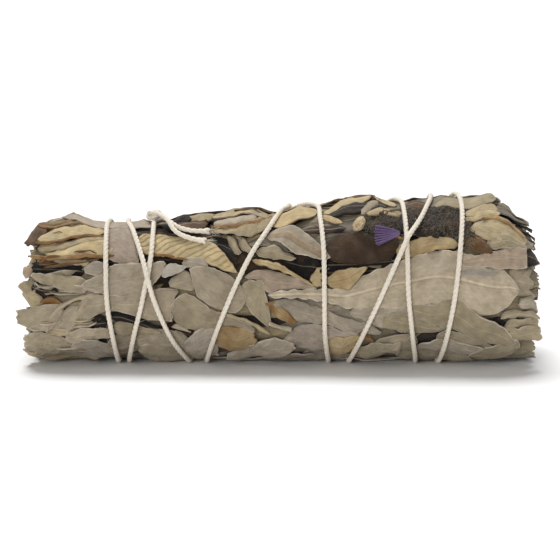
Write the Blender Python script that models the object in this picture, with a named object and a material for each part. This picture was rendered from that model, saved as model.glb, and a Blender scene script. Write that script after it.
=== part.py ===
"""A dried white sage bunch, tied with one cotton string, lying on its side.

Lengths are in millimetres and angles in degrees until on_bundle() turns them into metres.
A place on the bunch is (x, turn): x runs along the bunch, and turn goes round it, 0 at the
front (-Y), 90 at the top, 180 at the back and -90 underneath.
"""

import math
import random
from collections import namedtuple

import bmesh
import bpy
from mathutils import Vector

MM = 0.001

# Bunch: its radius along X, how far it lies flattened, and where its middle stands
PROFILE = ((-55.0, 13.6), (-50.0, 14.5), (-36.0, 15.2), (-21.0, 15.4), (-4.0, 15.9), (6.0, 16.7),
           (25.0, 17.2), (35.0, 17.8), (45.0, 17.3), (50.0, 15.8), (55.0, 14.0))
SPREAD = 1.03
FLAT_DEPTH = 0.8
PRESSED = 0.05
CENTRE_SHIFT = (-0.09, -0.53)

# Leaves: thickness, the cells of a blade along and across, how its edges and root drop, and the
# depths of the two layers that the leaves lie in
BLADE = 0.7
ALONG = 4
ALONG_SHORT = 2
ACROSS = 2
NARROW = 5.3
EDGE_DROP = 0.3
ROOT_SINK = 2.4
ROOT_SHARE = 0.4
ROOT_WIDTH = 0.5
TIP_WIDTH = 0.4
OUTER = 0.2
INNER = 1.25
DEEP = 1.9

# Packed inner leaves that the outer leaves grow out of
CORE_DEPTH = 2.3
CORE_END = 47.0
CORE_BORE = 2.4
CORE_CELLS = 6
FAN_STEP = 18.0

# Clearance between separate pieces
GAP = 0.3

# String: its radius, its height over the leaves, and how high it climbs over itself
STRING_RADIUS = 0.58
STRING_HEIGHT = STRING_RADIUS + GAP - OUTER
CROSSING_LIFT = 1.32
CROSSING_REACH = 1.6
STRING_STEP = 20.0
STRING_SIDES = 6
ROOM_RUN = 12

SAGE = (0.47, 0.42, 0.34, 1.0)
SAGE_DARK = (0.38, 0.34, 0.27, 1.0)
OCHRE = (0.45, 0.33, 0.18, 1.0)
BROWN = (0.13, 0.08, 0.05, 1.0)
CHARCOAL = (0.06, 0.05, 0.055, 1.0)
BARK = (0.16, 0.11, 0.07, 1.0)
COTTON = (0.80, 0.74, 0.63, 1.0)
PURPLE = (0.16, 0.06, 0.30, 1.0)
CREAM = (0.70, 0.60, 0.45, 1.0)

Leaf = namedtuple("Leaf", "spine width depth lift wave along", defaults=(0.3, 0.0, 0.25, ALONG))
Sprig = namedtuple("Sprig", "name low high colour leaves rows seed")
Stem = namedtuple("Stem", "name inner outer turn depth radius")


# Leaves that show on the front, each by the (x, turn) points of its midrib

FRONT_LEAVES = (
    Leaf(((-2, 3), (10, 6), (24, 7), (38, 7), (48.5, 9)), 12.5, OUTER, 0.0, 0.1),
    Leaf(((-1, -1), (12, -17), (24, -23), (38, -35)), 9.0, DEEP),
    Leaf(((22, -12), (34, -26), (49, -38)), 9.0, INNER),
    Leaf(((35, 22), (42, 26), (50.5, 33)), 5.5, INNER),
    Leaf(((-21, 8), (-14, 9), (-7, -1)), 11.0, OUTER),
    Leaf(((-28, -4), (-19, -5), (-9, -24)), 10.0, INNER),
    Leaf(((-41, 11), (-33, 15), (-22, 19)), 6.5, INNER),
    Leaf(((-36, 1), (-28, -3), (-20, -3)), 8.0, DEEP),
    Leaf(((-38, 14), (-45, 17), (-52.5, 22)), 3.6, INNER),
    Leaf(((-27, 5), (-37, 1), (-45, -5), (-53.5, -9)), 8.0, OUTER, 0.2),
    Leaf(((-36, -8), (-43, -15), (-50, -26)), 5.5, DEEP),
    Leaf(((-30, -38), (-42, -34), (-53, -36)), 6.5, INNER),
    Leaf(((-32, -39), (-19, -40), (-6, -41)), 7.5, OUTER, 0.2),
    Leaf(((-28, -56), (-42, -53), (-52.5, -52)), 6.5, OUTER),
    Leaf(((-3, -12), (8, -27), (18, -42)), 7.5, INNER),
    Leaf(((12, -48), (24, -43), (35, -48)), 6.5, OUTER),
    Leaf(((31, -50), (40, -50), (51, -46)), 6.5, INNER),
    Leaf(((-4, -60), (-26, -60), (-49, -63)), 7.0, INNER),
    Leaf(((-2, -61), (24, -61), (49, -62)), 7.0, INNER),
    Leaf(((40, -8), (47, -15), (53.6, -20)), 7.5, DEEP, 1.0, 0.3),
)
OCHRE_LEAVES = (
    Leaf(((-33, 47), (-42, 44), (-52.5, 40)), 5.2, OUTER),
    Leaf(((-32, 61), (-43, 56), (-51.5, 54)), 4.8, INNER),
    Leaf(((-35, 52), (-23, 50), (-15, 44), (-8, 44)), 7.0, OUTER),
    Leaf(((-12, 62), (-5, 60), (1, 58)), 4.5, OUTER),
    Leaf(((-10, 45), (2, 44), (12, 47)), 5.2, INNER),
    Leaf(((-4, 56), (8, 57), (18, 60)), 6.0, INNER),
    Leaf(((36, 49), (44, 48), (51.5, 48)), 6.0, OUTER),
    Leaf(((38, 62), (45, 61), (51, 60)), 5.0, INNER),
    Leaf(((-30, 65), (-21, 65), (-12, 66)), 3.6, INNER),
)
TOP_LEAVES = (
    Leaf(((-32, 81), (-43, 78), (-52.5, 77)), 4.5, OUTER),
    Leaf(((-27, 79), (-22, 78), (-17, 78)), 4.0, OUTER),
    Leaf(((-15, 78), (-9, 79), (-2, 88)), 4.0, INNER),
    Leaf(((-2, 79), (4, 80), (11, 84)), 5.5, OUTER),
    Leaf(((7, 84), (16, 83), (26, 82)), 5.0, INNER),
    Leaf(((28, 81), (37, 81), (48, 82)), 5.0, OUTER),
    Leaf(((-16, 97), (-34, 95), (-50, 97)), 7.5, INNER),
    Leaf(((-20, 99), (0, 97), (18, 97)), 7.0, OUTER),
    Leaf(((14, 96), (32, 97), (51, 97)), 7.0, INNER),
)

# Each sprig is a bunch of leaves of one colour between two turns, (left end, right end)
SPRIGS = (
    Sprig("sage_leaves_front", (-75, -75), (29, 40), SAGE, FRONT_LEAVES, 0, 11),
    Sprig("ochre_leaves_front", (29, 40), (70, 72), OCHRE, OCHRE_LEAVES, 0, 12),
    Sprig("mixed_leaves_top", (70, 72), (112, 108), OCHRE, TOP_LEAVES, 0, 13),
    Sprig("sage_leaves_back_high", (112, 108), (166, 170), SAGE_DARK, (), 3, 14),
    Sprig("sage_leaves_back_low", (166, 170), (228, 224), SAGE, (), 3, 15),
    Sprig("sage_leaves_under", (228, 224), (285, 285), SAGE_DARK, (), 3, 26),
)

# Single leaves of another colour that lie on the sprigs under the string
DARK_LEAF = Leaf(((7, 33), (17, 33), (27, 36)), 6.6, OUTER, 0.0, 0.0)
FUZZY_LEAF = Leaf(((17, 53), (26, 55), (36, 56), (45, 54)), 7.6, OUTER, 0.0, 0.0)
DARK_PETAL = Leaf(((-44, 8), (-48, 10), (-52, 12)), 4.6, 1.5, 0.0, 0.2)

STEMS = (
    Stem("woody_stem_1", 12.0, 53.6, 0, 16.2, 1.95),
    Stem("woody_stem_2", 26.0, 50.8, 52, 3.9, 1.5),
    Stem("woody_stem_3", 24.0, 50.6, -52, 3.6, 1.4),
    Stem("woody_stem_4", 30.0, 49.8, 90, 3.5, 1.15),
    Stem("woody_stem_5", -50.6, -26.0, 196, 4.6, 1.3),
)

# String: its x at each of these turns on every pass, front down, underneath and back up
TURNS = (90, 60, 30, 0, -30, -60, -90, -135, -180, -225)
PASSES = (
    (-26.8, -26.5, -26.8, -28.4, -30.4, -31.7, -32.1, -33.6, -35.0, -36.1),
    (-36.4, -36.1, -35.8, -35.5, -34.6, -34.0, -34.0, -34.0, -33.4, -32.8),
    (-32.1, -30.5, -28.2, -25.9, -22.8, -19.6, -18.5, -17.8, -10.5, -1.5),
    (6.8, 7.7, 8.3, 8.4, 8.6, 9.4, 9.8, 11.2, 16.0, 20.8),
    (24.4, 24.9, 25.1, 25.3, 26.3, 27.4, 27.8, 29.6, 32.4, 35.0),
    (36.5, 36.6, 35.8, 34.7, 33.4, 32.4, 32.0, 31.8, 31.4, 31.0),
    (30.9, 28.8, 24.2, 20.0, 16.3, 13.9, 13.6, 12.4, 7.0, 2.4),
    (-0.1, -2.4, -6.8, -10.8, -13.9, -15.6, -15.8, -17.4, -21.0, -24.4),
)
KNOT = (-26.8, 88.0)
KNOT_SIZE = (1.7, 1.5, 1.25)
TAILS = (
    ((-26.4, 87, 0.9), (-24.2, 73, 0.9), (-21.8, 61, 0.9), (-18.6, 56, 0.8), (-14.9, 54.5, 0.8)),
    ((-26.2, 84, 0.9), (-23.8, 68, 1.4), (-21.9, 55, 1.1), (-19.1, 49, 0.8), (-15.6, 45, 0.8)),
)

# Flower: the fan of a dried statice bloom, with its stalk, and one cream bud
FAN_FROM = (23.7, 40.5)
FAN_LENGTH = 4.9
FAN_WIDTHS = (0.9, 4.8)
FAN_HEIGHT = 1.05
FAN_PLEATS = 5
PLEAT = 0.28
BUD_AT = (15.6, 51.0)
BUD_SIZE = (1.2, 1.75, 1.15)
BUD_HEIGHT = 0.5


def bundle_radius(x):
    """The bunch's radius at x, eased between the profile's points."""
    if x <= PROFILE[0][0]:
        return PROFILE[0][1]
    for (x0, r0), (x1, r1) in zip(PROFILE, PROFILE[1:]):
        if x <= x1:
            t = (x - x0) / (x1 - x0)
            return r0 + (r1 - r0) * t * t * (3 - 2 * t)
    return PROFILE[-1][1]


def on_bundle(x, turn, height):
    """The place, in metres, that is height mm outside the bunch's skin."""
    radius = bundle_radius(x)
    angle = math.radians(turn)
    reach = radius + height
    return Vector((
        x + CENTRE_SHIFT[0],
        -SPREAD * reach * math.cos(angle) + CENTRE_SHIFT[1],
        radius - FLAT_DEPTH + reach * math.sin(angle),
    )) * MM


def bend_round(bm, sprig=None):
    """Bends a flat mesh of (x, arc length, height) round the bunch, and clear of the sprig's bounds."""
    for vert in bm.verts:
        x, arc, height = vert.co
        radius = bundle_radius(x)
        turn = math.degrees(arc / radius)
        if sprig:
            low = sector_turn(sprig, x, 0.0, radius + height)
            high = sector_turn(sprig, x, 1.0, radius + height)
            turn = min(max(turn, low), high)
        vert.co = on_bundle(x, turn, height)


def through(points, t):
    """A point on the smooth curve through the points, with t from 0 to 1."""
    spans = len(points) - 1
    at = min(max(t, 0.0), 1.0) * spans
    i = min(int(at), spans - 1)
    f = at - i
    before = points[max(i - 1, 0)]
    after = points[min(i + 2, spans)]
    return tuple(
        0.5 * (2 * b + (c - a) * f + (2 * a - 5 * b + 4 * c - d) * f * f + (3 * b - a - 3 * c + d) * f ** 3)
        for a, b, c, d in zip(before, points[i], points[i + 1], after)
    )


def new_object(name, bm, collection=None):
    """An object holding the bmesh, with outward faces, linked to the collection or the scene."""
    bmesh.ops.recalc_face_normals(bm, faces=bm.faces)
    mesh = bpy.data.meshes.new(name)
    bm.to_mesh(mesh)
    bm.free()
    obj = bpy.data.objects.new(name, mesh)
    (collection or bpy.context.scene.collection).objects.link(obj)
    return obj


def new_collection(name):
    collection = bpy.data.collections.new(name)
    bpy.context.scene.collection.children.link(collection)
    return collection


def thicken(bm, thickness):
    """Makes the flat mesh a closed sheet, triangles alike on both faces, its top where it was."""
    bmesh.ops.triangulate(bm, faces=bm.faces)
    bmesh.ops.recalc_face_normals(bm, faces=bm.faces)
    if sum(face.normal.z for face in bm.faces) < 0:
        bmesh.ops.reverse_faces(bm, faces=bm.faces)
    bmesh.ops.solidify(bm, geom=bm.faces, thickness=thickness)


def ground_height(x, arc):
    """The greatest height a leaf may have at a place, where the bunch lies pressed on the ground."""
    radius = bundle_radius(x)
    down = -math.sin(arc / radius)
    return (radius - FLAT_DEPTH + PRESSED) / down - radius if down > 0.5 else math.inf


def leaf_outline(t):
    """The share of the leaf's width at t: a narrowed root, a full middle and a blunt tip."""
    root = ROOT_WIDTH + (1.0 - ROOT_WIDTH) * min(t / 0.3, 1.0)
    tip = TIP_WIDTH + (1.0 - TIP_WIDTH) * math.sqrt(min((1.0 - t) / 0.4, 1.0))
    return root * tip


def leaf_mesh(leaf, sprig=None, grow=0.0):
    """A leaf bent round the bunch. grow makes it larger all round, to cut its own room."""
    bm = bmesh.new()
    across = 1 if leaf.width < NARROW else ACROSS
    bmesh.ops.create_grid(bm, x_segments=leaf.along, y_segments=across, size=1.0)
    for vert in bm.verts:
        t = (vert.co.x + 1) / 2
        side = vert.co.y
        sink = ROOT_SINK * max(0.0, 1.0 - t / ROOT_SHARE) ** 2
        stretch = t + grow * (2 * t - 1) / 20.0
        x, turn = through(leaf.spine, t)
        ahead = through(leaf.spine, min(t + 0.02, 1.0))
        behind = through(leaf.spine, max(t - 0.02, 0.0))
        radius = bundle_radius(x)
        run = Vector((ahead[0] - behind[0], math.radians(ahead[1] - behind[1]) * radius))
        run.normalize()
        half = leaf.width / 2 * leaf_outline(t) + grow
        wave = leaf.wave * math.sin(math.tau * (1.6 * t + 0.3 * side) + leaf.width) * abs(side)
        ends = (stretch - t) * 20.0
        vert.co = Vector((
            x - run.y * half * side + run.x * ends,
            math.radians(turn) * radius + run.x * half * side + run.y * ends,
            grow - leaf.depth - sink + leaf.lift * t * t - EDGE_DROP * side * side - abs(wave),
        ))
        vert.co.z = min(vert.co.z, ground_height(vert.co.x, vert.co.y))
    thicken(bm, BLADE + 2 * grow)
    bend_round(bm, sprig)
    return bm


def sector_turn(sprig, x, share, reach):
    """The turn at a share of the sprig's width, held a gap inside both its bounds."""
    along = (x + CORE_END) / (2 * CORE_END)
    low = sprig.low[0] + (sprig.low[1] - sprig.low[0]) * along
    high = sprig.high[0] + (sprig.high[1] - sprig.high[0]) * along
    margin = math.degrees(GAP / reach)
    return low + margin + (high - low - 2 * margin) * share


def core_mesh(sprig):
    """The packed inner leaves of a sprig: a closed slice from the bore out to the core's depth."""
    bm = bmesh.new()
    fans = max(2, round((sprig.high[0] - sprig.low[0]) / FAN_STEP))
    bmesh.ops.create_grid(bm, x_segments=CORE_CELLS, y_segments=fans, size=1.0)
    thicken(bm, 1.0)
    for vert in bm.verts:
        x = vert.co.x * CORE_END
        inside = vert.co.z < -0.5
        reach = CORE_BORE if inside else bundle_radius(x) - CORE_DEPTH
        turn = sector_turn(sprig, x, (vert.co.y + 1) / 2, reach)
        vert.co = on_bundle(x, turn, reach - bundle_radius(x))
    return bm


def row_leaves(sprig):
    """Overlapping leaves in rows along the bunch, for a side that no one leaf stands out on."""
    rng = random.Random(sprig.seed)
    leaves = []
    low = sum(sprig.low) / 2
    span = sum(sprig.high) / 2 - low
    for row in range(sprig.rows):
        turn = low + span * (row + 0.5) / sprig.rows
        for place in (-1, 0, 1):
            middle = place * 30 + rng.uniform(-4, 4)
            half = rng.uniform(19, 23)
            ends = [max(-53.4, middle - half), min(53.2, middle + half)]
            if place < 0 or (place == 0 and rng.random() < 0.5):
                ends.reverse()
            tilt = rng.uniform(-4, 4)
            spine = ((ends[0], turn - tilt), (middle, turn + rng.uniform(-2, 2)), (ends[1], turn + tilt))
            depth = INNER if (row + place) % 2 else OUTER
            leaves.append(Leaf(spine, rng.uniform(6.5, 8.5), depth, 0.0, rng.uniform(0.1, 0.3)))
    return leaves


def end_leaves(sprig):
    """Short inner leaves that stick out of both ends of the bunch, in two rings."""
    rng = random.Random(sprig.seed + 100)
    leaves = []
    for end in (-1, 1):
        for ring in (6.5, 11.0):
            spread = sprig.high[0] - sprig.low[0]
            count = max(1, round(spread * ring / 420))
            for i in range(count):
                reach = rng.uniform(50.5, 53.3) * end
                start = (CORE_END - 6.0) * end
                turn = sector_turn(sprig, start, (i + 0.5) / count, ring)
                radius = bundle_radius(start)
                arc = math.radians(spread) * ring / count - 1.6
                width = min(7.5, arc) * radius / ring
                slope = rng.uniform(-4, 4)
                spine = ((start, turn), ((start + reach) / 2, turn + slope / 2), (reach, turn + slope))
                leaves.append(Leaf(spine, width, radius - ring, rng.uniform(-0.6, 0.4), 0.3, ALONG_SHORT))
    return leaves


def string_route():
    """The string's centre line, as (x, turn, height) every 3 degrees, climbing over itself."""
    keys = [
        (90 - turn + 360 * lap, x)
        for lap, row in enumerate(PASSES)
        for turn, x in zip(TURNS, row)
    ]
    keys.append((360 * len(PASSES), KNOT[0]))
    slopes = []
    for i, (at, x) in enumerate(keys):
        before = keys[max(i - 1, 0)]
        after = keys[min(i + 1, len(keys) - 1)]
        slopes.append((after[1] - before[1]) / (after[0] - before[0]))
    route = []
    span = 0
    for at in range(3, 360 * len(PASSES) - 2, 3):
        while keys[span + 1][0] < at:
            span += 1
        (a0, x0), (a1, x1) = keys[span], keys[span + 1]
        t = (at - a0) / (a1 - a0)
        x = (
            x0 * (1 + 2 * t) * (1 - t) ** 2
            + x1 * t * t * (3 - 2 * t)
            + (a1 - a0) * (slopes[span] * t * (1 - t) ** 2 - slopes[span + 1] * t * t * (1 - t))
        )
        lift = 0.0
        for earlier, turned in enumerate(route):
            if at - 90 > 3 * (earlier + 1):
                arc = (at - 3 * (earlier + 1) + 180) % 360 - 180
                away = math.hypot(x - turned[0], math.radians(arc) * bundle_radius(x))
                lift = max(lift, (CROSSING_LIFT + turned[3]) * math.exp(-(away / CROSSING_REACH) ** 2))
        route.append((x, 90 - at, STRING_HEIGHT + lift, lift))
    return route


def string_points():
    """The stations of the string that its tube is bent at, close together where it climbs."""
    points = []
    last = -STRING_STEP
    route = string_route()
    for x, turn, height, lift in route:
        step = STRING_STEP / 3 if lift > 0.12 else STRING_STEP
        if 90 - turn - last >= step or turn == route[-1][1]:
            points.append(keep_above_ground(on_bundle(x, turn, height), STRING_RADIUS))
            last = 90 - turn
    return points


def keep_above_ground(point, radius):
    """The string presses into the leaves where the bunch lies on it."""
    point.z = max(point.z, (radius + 0.05) * MM)
    return point


def tube(name, points, radius, sides, collection=None):
    """A closed round tube through the points, as a mesh object."""
    curve = bpy.data.curves.new(name, "CURVE")
    curve.dimensions = "3D"
    curve.bevel_depth = radius * MM
    curve.bevel_resolution = sides // 2 - 2
    curve.use_fill_caps = True
    spline = curve.splines.new("POLY")
    spline.points.add(len(points) - 1)
    for place, point in zip(spline.points, points):
        place.co = (*point, 1.0)
    holder = bpy.data.objects.new(name, curve)
    mesh = bpy.data.meshes.new_from_object(holder)
    bpy.data.objects.remove(holder)
    bm = bmesh.new()
    bm.from_mesh(mesh)
    bmesh.ops.remove_doubles(bm, verts=bm.verts, dist=1e-6)
    bpy.data.meshes.remove(mesh)
    return new_object(name, bm, collection)


def blob(name, centre, size, collection=None):
    """A rounded lump of the given half sizes along X, round the bunch and outwards."""
    bm = bmesh.new()
    bmesh.ops.create_uvsphere(bm, u_segments=8, v_segments=6, radius=1.0)
    x, turn, height = centre
    radius = bundle_radius(x)
    for vert in bm.verts:
        arc = math.degrees(vert.co.y * size[1] / radius)
        vert.co = on_bundle(x + vert.co.x * size[0], turn + arc, height + vert.co.z * size[2])
    return new_object(name, bm, collection)


def fan_mesh(grow=0.0):
    """The pleated fan of the dried bloom, narrow at its stalk."""
    bm = bmesh.new()
    bmesh.ops.create_grid(bm, x_segments=2, y_segments=2 * FAN_PLEATS, size=1.0)
    x0, turn0 = FAN_FROM
    radius = bundle_radius(x0)
    for vert in bm.verts:
        t = (vert.co.x + 1) / 2
        half = (FAN_WIDTHS[0] + (FAN_WIDTHS[1] - FAN_WIDTHS[0]) * t) / 2 + grow
        pleat = round((vert.co.y + 1) * FAN_PLEATS) % 2
        vert.co = Vector((
            x0 + grow - (FAN_LENGTH + 2 * grow) * t,
            math.radians(turn0) * radius + vert.co.y * half - 0.4 * t,
            grow + FAN_HEIGHT - PLEAT * pleat * t,
        ))
    thicken(bm, BLADE + 2 * grow)
    bend_round(bm)
    return bm


def stem_object(stem, grow=0.0, collection=None):
    """A straight woody stem. grown, it cuts the hole that the stem stands in."""
    ends = (stem.inner - grow, stem.outer + grow)
    if grow:
        ends = (ends[0], 60.0) if stem.outer > 0 else (-60.0, ends[1])
    base = on_bundle(stem.outer if stem.outer > 0 else stem.inner, stem.turn, -stem.depth)
    points = [Vector((x * MM, base.y, base.z)) for x in ends]
    name = stem.name + ("_room" if grow else "")
    return tube(name, points, stem.radius + grow, 8, collection)


def finish(obj, colour, roughness=0.85):
    """One matt material for the piece."""
    material = bpy.data.materials.new(obj.name)
    material.use_nodes = True
    shader = material.node_tree.nodes["Principled BSDF"]
    shader.inputs["Base Color"].default_value = colour
    shader.inputs["Roughness"].default_value = roughness
    shader.inputs["Metallic"].default_value = 0.0
    obj.data.materials.clear()
    obj.data.materials.append(material)
    return obj


def apply_boolean(obj, operation, collection, solver="MANIFOLD"):
    """Joins to, or cuts from, the object all that the collection holds."""
    modifier = obj.modifiers.new(operation.lower(), "BOOLEAN")
    modifier.operation = operation
    modifier.operand_type = "COLLECTION"
    modifier.collection = collection
    modifier.solver = solver
    bpy.context.view_layer.update()
    graph = bpy.context.evaluated_depsgraph_get()
    mesh = bpy.data.meshes.new_from_object(obj.evaluated_get(graph))
    obj.modifiers.clear()
    old = obj.data
    obj.data = mesh
    bpy.data.meshes.remove(old)


def keep_largest_body(obj):
    """Drops loose scraps and fills sealed hollows, which are bodies of their own too."""
    bm = bmesh.new()
    bm.from_mesh(obj.data)
    left = set(bm.faces)
    bodies = []
    while left:
        stack = [left.pop()]
        body = []
        while stack:
            face = stack.pop()
            body.append(face)
            for edge in face.edges:
                for near in edge.link_faces:
                    if near in left:
                        left.remove(near)
                        stack.append(near)
        bodies.append(body)
    bodies.sort(key=lambda body: sum(face.calc_area() for face in body))
    scraps = [face for body in bodies[:-1] for face in body]
    bmesh.ops.delete(bm, geom=scraps, context="FACES")
    bmesh.ops.triangulate(bm, faces=bm.faces)
    bm.to_mesh(obj.data)
    bm.free()


def empty_out(collection):
    for obj in list(collection.objects):
        bpy.data.objects.remove(obj)
    bpy.data.collections.remove(collection)


def build_string():
    """The whole binding as one body: the wound run, the knot and its two tails."""
    string = tube("binding_string", string_points(), STRING_RADIUS, STRING_SIDES)
    extras = new_collection("string extras")
    blob("knot", (*KNOT, 0.45), KNOT_SIZE, extras)
    for i, tail in enumerate(TAILS):
        points = [on_bundle(*through(tail, step / 7)) for step in range(8)]
        tube(f"tail_{i}", points, STRING_RADIUS, STRING_SIDES, extras)
    apply_boolean(string, "UNION", extras, "EXACT")
    empty_out(extras)
    keep_largest_body(string)
    return finish(string, COTTON, 0.9)


def string_room(collection):
    """The string grown by the gap, so that leaves are pressed in under it, in short runs."""
    points = string_points()
    for start in range(0, len(points) - 1, ROOM_RUN):
        tube("string_room", points[start:start + ROOM_RUN + 1], STRING_RADIUS + GAP, STRING_SIDES, collection)
    blob("knot_room", (*KNOT, 0.45), [side + GAP for side in KNOT_SIZE], collection)
    for i, tail in enumerate(TAILS):
        points = [on_bundle(*through(tail, step / 7)) for step in range(8)]
        tube(f"tail_room_{i}", points, STRING_RADIUS + GAP, STRING_SIDES, collection)


def ground_room(collection):
    """Everything under the surface that the bunch lies on."""
    bm = bmesh.new()
    bmesh.ops.create_cube(bm, size=0.2)
    bmesh.ops.translate(bm, verts=bm.verts, vec=(0.0, 0.0, -0.1))
    new_object("ground_room", bm, collection)


def build_sprig(sprig, rooms):
    """A sprig: packed inner leaves with the outer and end leaves fused to them, cut clear of the rest."""
    obj = new_object(sprig.name, core_mesh(sprig))
    blades = new_collection(sprig.name + " leaves")
    for i, leaf in enumerate((*sprig.leaves, *row_leaves(sprig), *end_leaves(sprig))):
        new_object(f"leaf_{i}", leaf_mesh(leaf, sprig), blades)
    apply_boolean(obj, "UNION", blades)
    empty_out(blades)
    apply_boolean(obj, "DIFFERENCE", rooms)
    keep_largest_body(obj)
    return finish(obj, sprig.colour)


def cut_clear(obj, makers):
    """Cuts room for each piece that a maker adds to a collection."""
    room = new_collection(obj.name + " room")
    for make in makers:
        make(room)
    apply_boolean(obj, "DIFFERENCE", room)
    empty_out(room)
    keep_largest_body(obj)


def leaf_room(leaf, name):
    return lambda collection: new_object(name, leaf_mesh(leaf, None, GAP), collection)


def flower_room(collection):
    new_object("flower_room", fan_mesh(GAP), collection)


def bud_room(collection):
    blob("bud_room", (*BUD_AT, BUD_HEIGHT), [side + GAP for side in BUD_SIZE], collection)


def build_small_pieces():
    """The single dark leaves, the bloom and the bud, each cut clear of what lies on it."""
    dark = new_object("dark_leaf", leaf_mesh(DARK_LEAF))
    cut_clear(dark, (string_room, leaf_room(FUZZY_LEAF, "fuzzy_room"), flower_room, bud_room))
    finish(dark, BROWN)
    fuzzy = new_object("fuzzy_leaf", leaf_mesh(FUZZY_LEAF))
    cut_clear(fuzzy, (string_room, flower_room, bud_room))
    finish(fuzzy, CHARCOAL, 0.95)
    petal = new_object("dark_petal", leaf_mesh(DARK_PETAL))
    finish(petal, CHARCOAL)
    flower = new_object("statice_flower", fan_mesh())
    cut_clear(flower, (string_room,))
    finish(flower, PURPLE)
    finish(blob("cream_bud", (*BUD_AT, BUD_HEIGHT), BUD_SIZE), CREAM)


def main():
    for obj in list(bpy.data.objects):
        bpy.data.objects.remove(obj)
    build_string()
    build_small_pieces()
    rooms = new_collection("room for the other pieces")
    string_room(rooms)
    ground_room(rooms)
    for leaf, name in ((DARK_LEAF, "dark"), (FUZZY_LEAF, "fuzzy"), (DARK_PETAL, "petal")):
        leaf_room(leaf, name + "_room")(rooms)
    flower_room(rooms)
    bud_room(rooms)
    for stem in STEMS:
        finish(stem_object(stem), BARK, 0.8)
        stem_object(stem, GAP, rooms)
    for sprig in SPRIGS:
        build_sprig(sprig, rooms)
    empty_out(rooms)


main()
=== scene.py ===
"""The looks of a dried white sage bunch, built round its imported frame.

Lengths are in millimetres until Bunch.place() turns them into metres. A place on the bunch is
(x, turn, height): x runs along the bunch, turn goes round it in degrees (0 at the front, 90 at
the top, 180 at the back, -90 underneath), and height is outwards from its skin.
"""

import logging
import math
import random
from dataclasses import dataclass, field
from enum import Enum
from typing import Any, Iterable, Sequence

import bmesh
import bpy
import numpy as np
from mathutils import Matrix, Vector


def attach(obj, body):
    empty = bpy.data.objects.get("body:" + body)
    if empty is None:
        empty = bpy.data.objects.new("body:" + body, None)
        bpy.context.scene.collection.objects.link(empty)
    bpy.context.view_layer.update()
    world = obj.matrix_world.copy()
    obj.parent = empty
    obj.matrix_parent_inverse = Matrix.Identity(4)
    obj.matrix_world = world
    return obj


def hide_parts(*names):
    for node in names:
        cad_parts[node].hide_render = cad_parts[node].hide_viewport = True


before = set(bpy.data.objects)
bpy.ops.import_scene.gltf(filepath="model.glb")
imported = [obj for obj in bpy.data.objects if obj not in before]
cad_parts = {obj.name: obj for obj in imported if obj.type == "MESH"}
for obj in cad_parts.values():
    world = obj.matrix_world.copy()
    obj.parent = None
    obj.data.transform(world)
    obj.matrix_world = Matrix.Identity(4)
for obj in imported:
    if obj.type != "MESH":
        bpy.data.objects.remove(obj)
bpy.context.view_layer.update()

LOG = logging.getLogger("sage_bunch")
MM = 0.001
BODY = "root"

Points = Sequence[tuple[float, ...]]
Array = np.ndarray


# Colour and node helpers


def linear(code: str) -> tuple[float, float, float, float]:
    """Turns an sRGB hex colour into linear RGBA."""
    channels = [int(code[i:i + 2], 16) / 255 for i in (1, 3, 5)]
    turned = [c / 12.92 if c <= 0.04045 else ((c + 0.055) / 1.055) ** 2.4 for c in channels]
    return (*turned, 1.0)


def set_inputs(tree: bpy.types.NodeTree, node: Any, inputs: dict[Any, Any]) -> None:
    """Sets or links a node's inputs.

    Args:
        tree: The node's tree.
        node: The node.
        inputs: A value, or an output to link, for each input socket by name or number.
    """
    for key, value in inputs.items():
        if isinstance(value, bpy.types.NodeSocket):
            tree.links.new(value, node.inputs[key])
        else:
            node.inputs[key].default_value = value


def add_node(tree: bpy.types.NodeTree, kind: str, inputs: dict[Any, Any] | None = None, **settings: Any) -> Any:
    """Adds a node to a material's tree.

    Args:
        tree: The material's node tree.
        kind: The node's type name.
        inputs: As set_inputs() takes them.
        **settings: The node's own properties.

    Returns:
        The new node.
    """
    node = tree.nodes.new(kind)
    for name, value in settings.items():
        setattr(node, name, value)
    set_inputs(tree, node, inputs or {})
    return node


def add_mix(tree: bpy.types.NodeTree, factor: Any, low: Any, high: Any, blend: str = "MIX") -> Any:
    """Adds a blend of two colours. Returns the blended colour."""
    inputs = {"Factor": factor, 6: low, 7: high}
    return add_node(tree, "ShaderNodeMix", inputs, data_type="RGBA", blend_type=blend).outputs[2]


def add_ramp(tree: bpy.types.NodeTree, factor: Any, stops: Sequence[tuple[float, str]]) -> Any:
    """Adds a colour ramp through (place, hex colour) stops. Returns its colour."""
    ramp = add_node(tree, "ShaderNodeValToRGB", {"Fac": factor})
    elements = ramp.color_ramp.elements
    for element, (place, code) in zip((elements[0], elements[1]), (stops[0], stops[-1])):
        element.position = place
        element.color = linear(code)
    for place, code in stops[1:-1]:
        elements.new(place).color = linear(code)
    return ramp.outputs["Color"]


def add_noise(tree: bpy.types.NodeTree, vector: Any, scale: float | tuple[float, ...], detail: float) -> Any:
    """Adds soft noise, stretched where scale has a value for each axis. Returns its strength."""
    if isinstance(scale, tuple):
        vector = add_node(tree, "ShaderNodeMapping", {"Vector": vector, "Scale": scale}).outputs[0]
        scale = 1.0
    inputs = {"Vector": vector, "Scale": scale, "Detail": detail}
    return add_node(tree, "ShaderNodeTexNoise", inputs).outputs["Fac"]


def add_bump(tree: bpy.types.NodeTree, height: Any, relief: tuple[float, float]) -> Any:
    """Adds a relief of (strength, depth in millimetres) from heights. Returns its normals."""
    inputs = {"Strength": relief[0], "Distance": relief[1] * MM, "Height": height}
    return add_node(tree, "ShaderNodeBump", inputs).outputs["Normal"]


def read(tree: bpy.types.NodeTree, name: str, output: str = "Vector") -> Any:
    """Adds a node that reads an attribute of the mesh. Returns its output."""
    return add_node(tree, "ShaderNodeAttribute", attribute_name=name).outputs[output]


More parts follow.
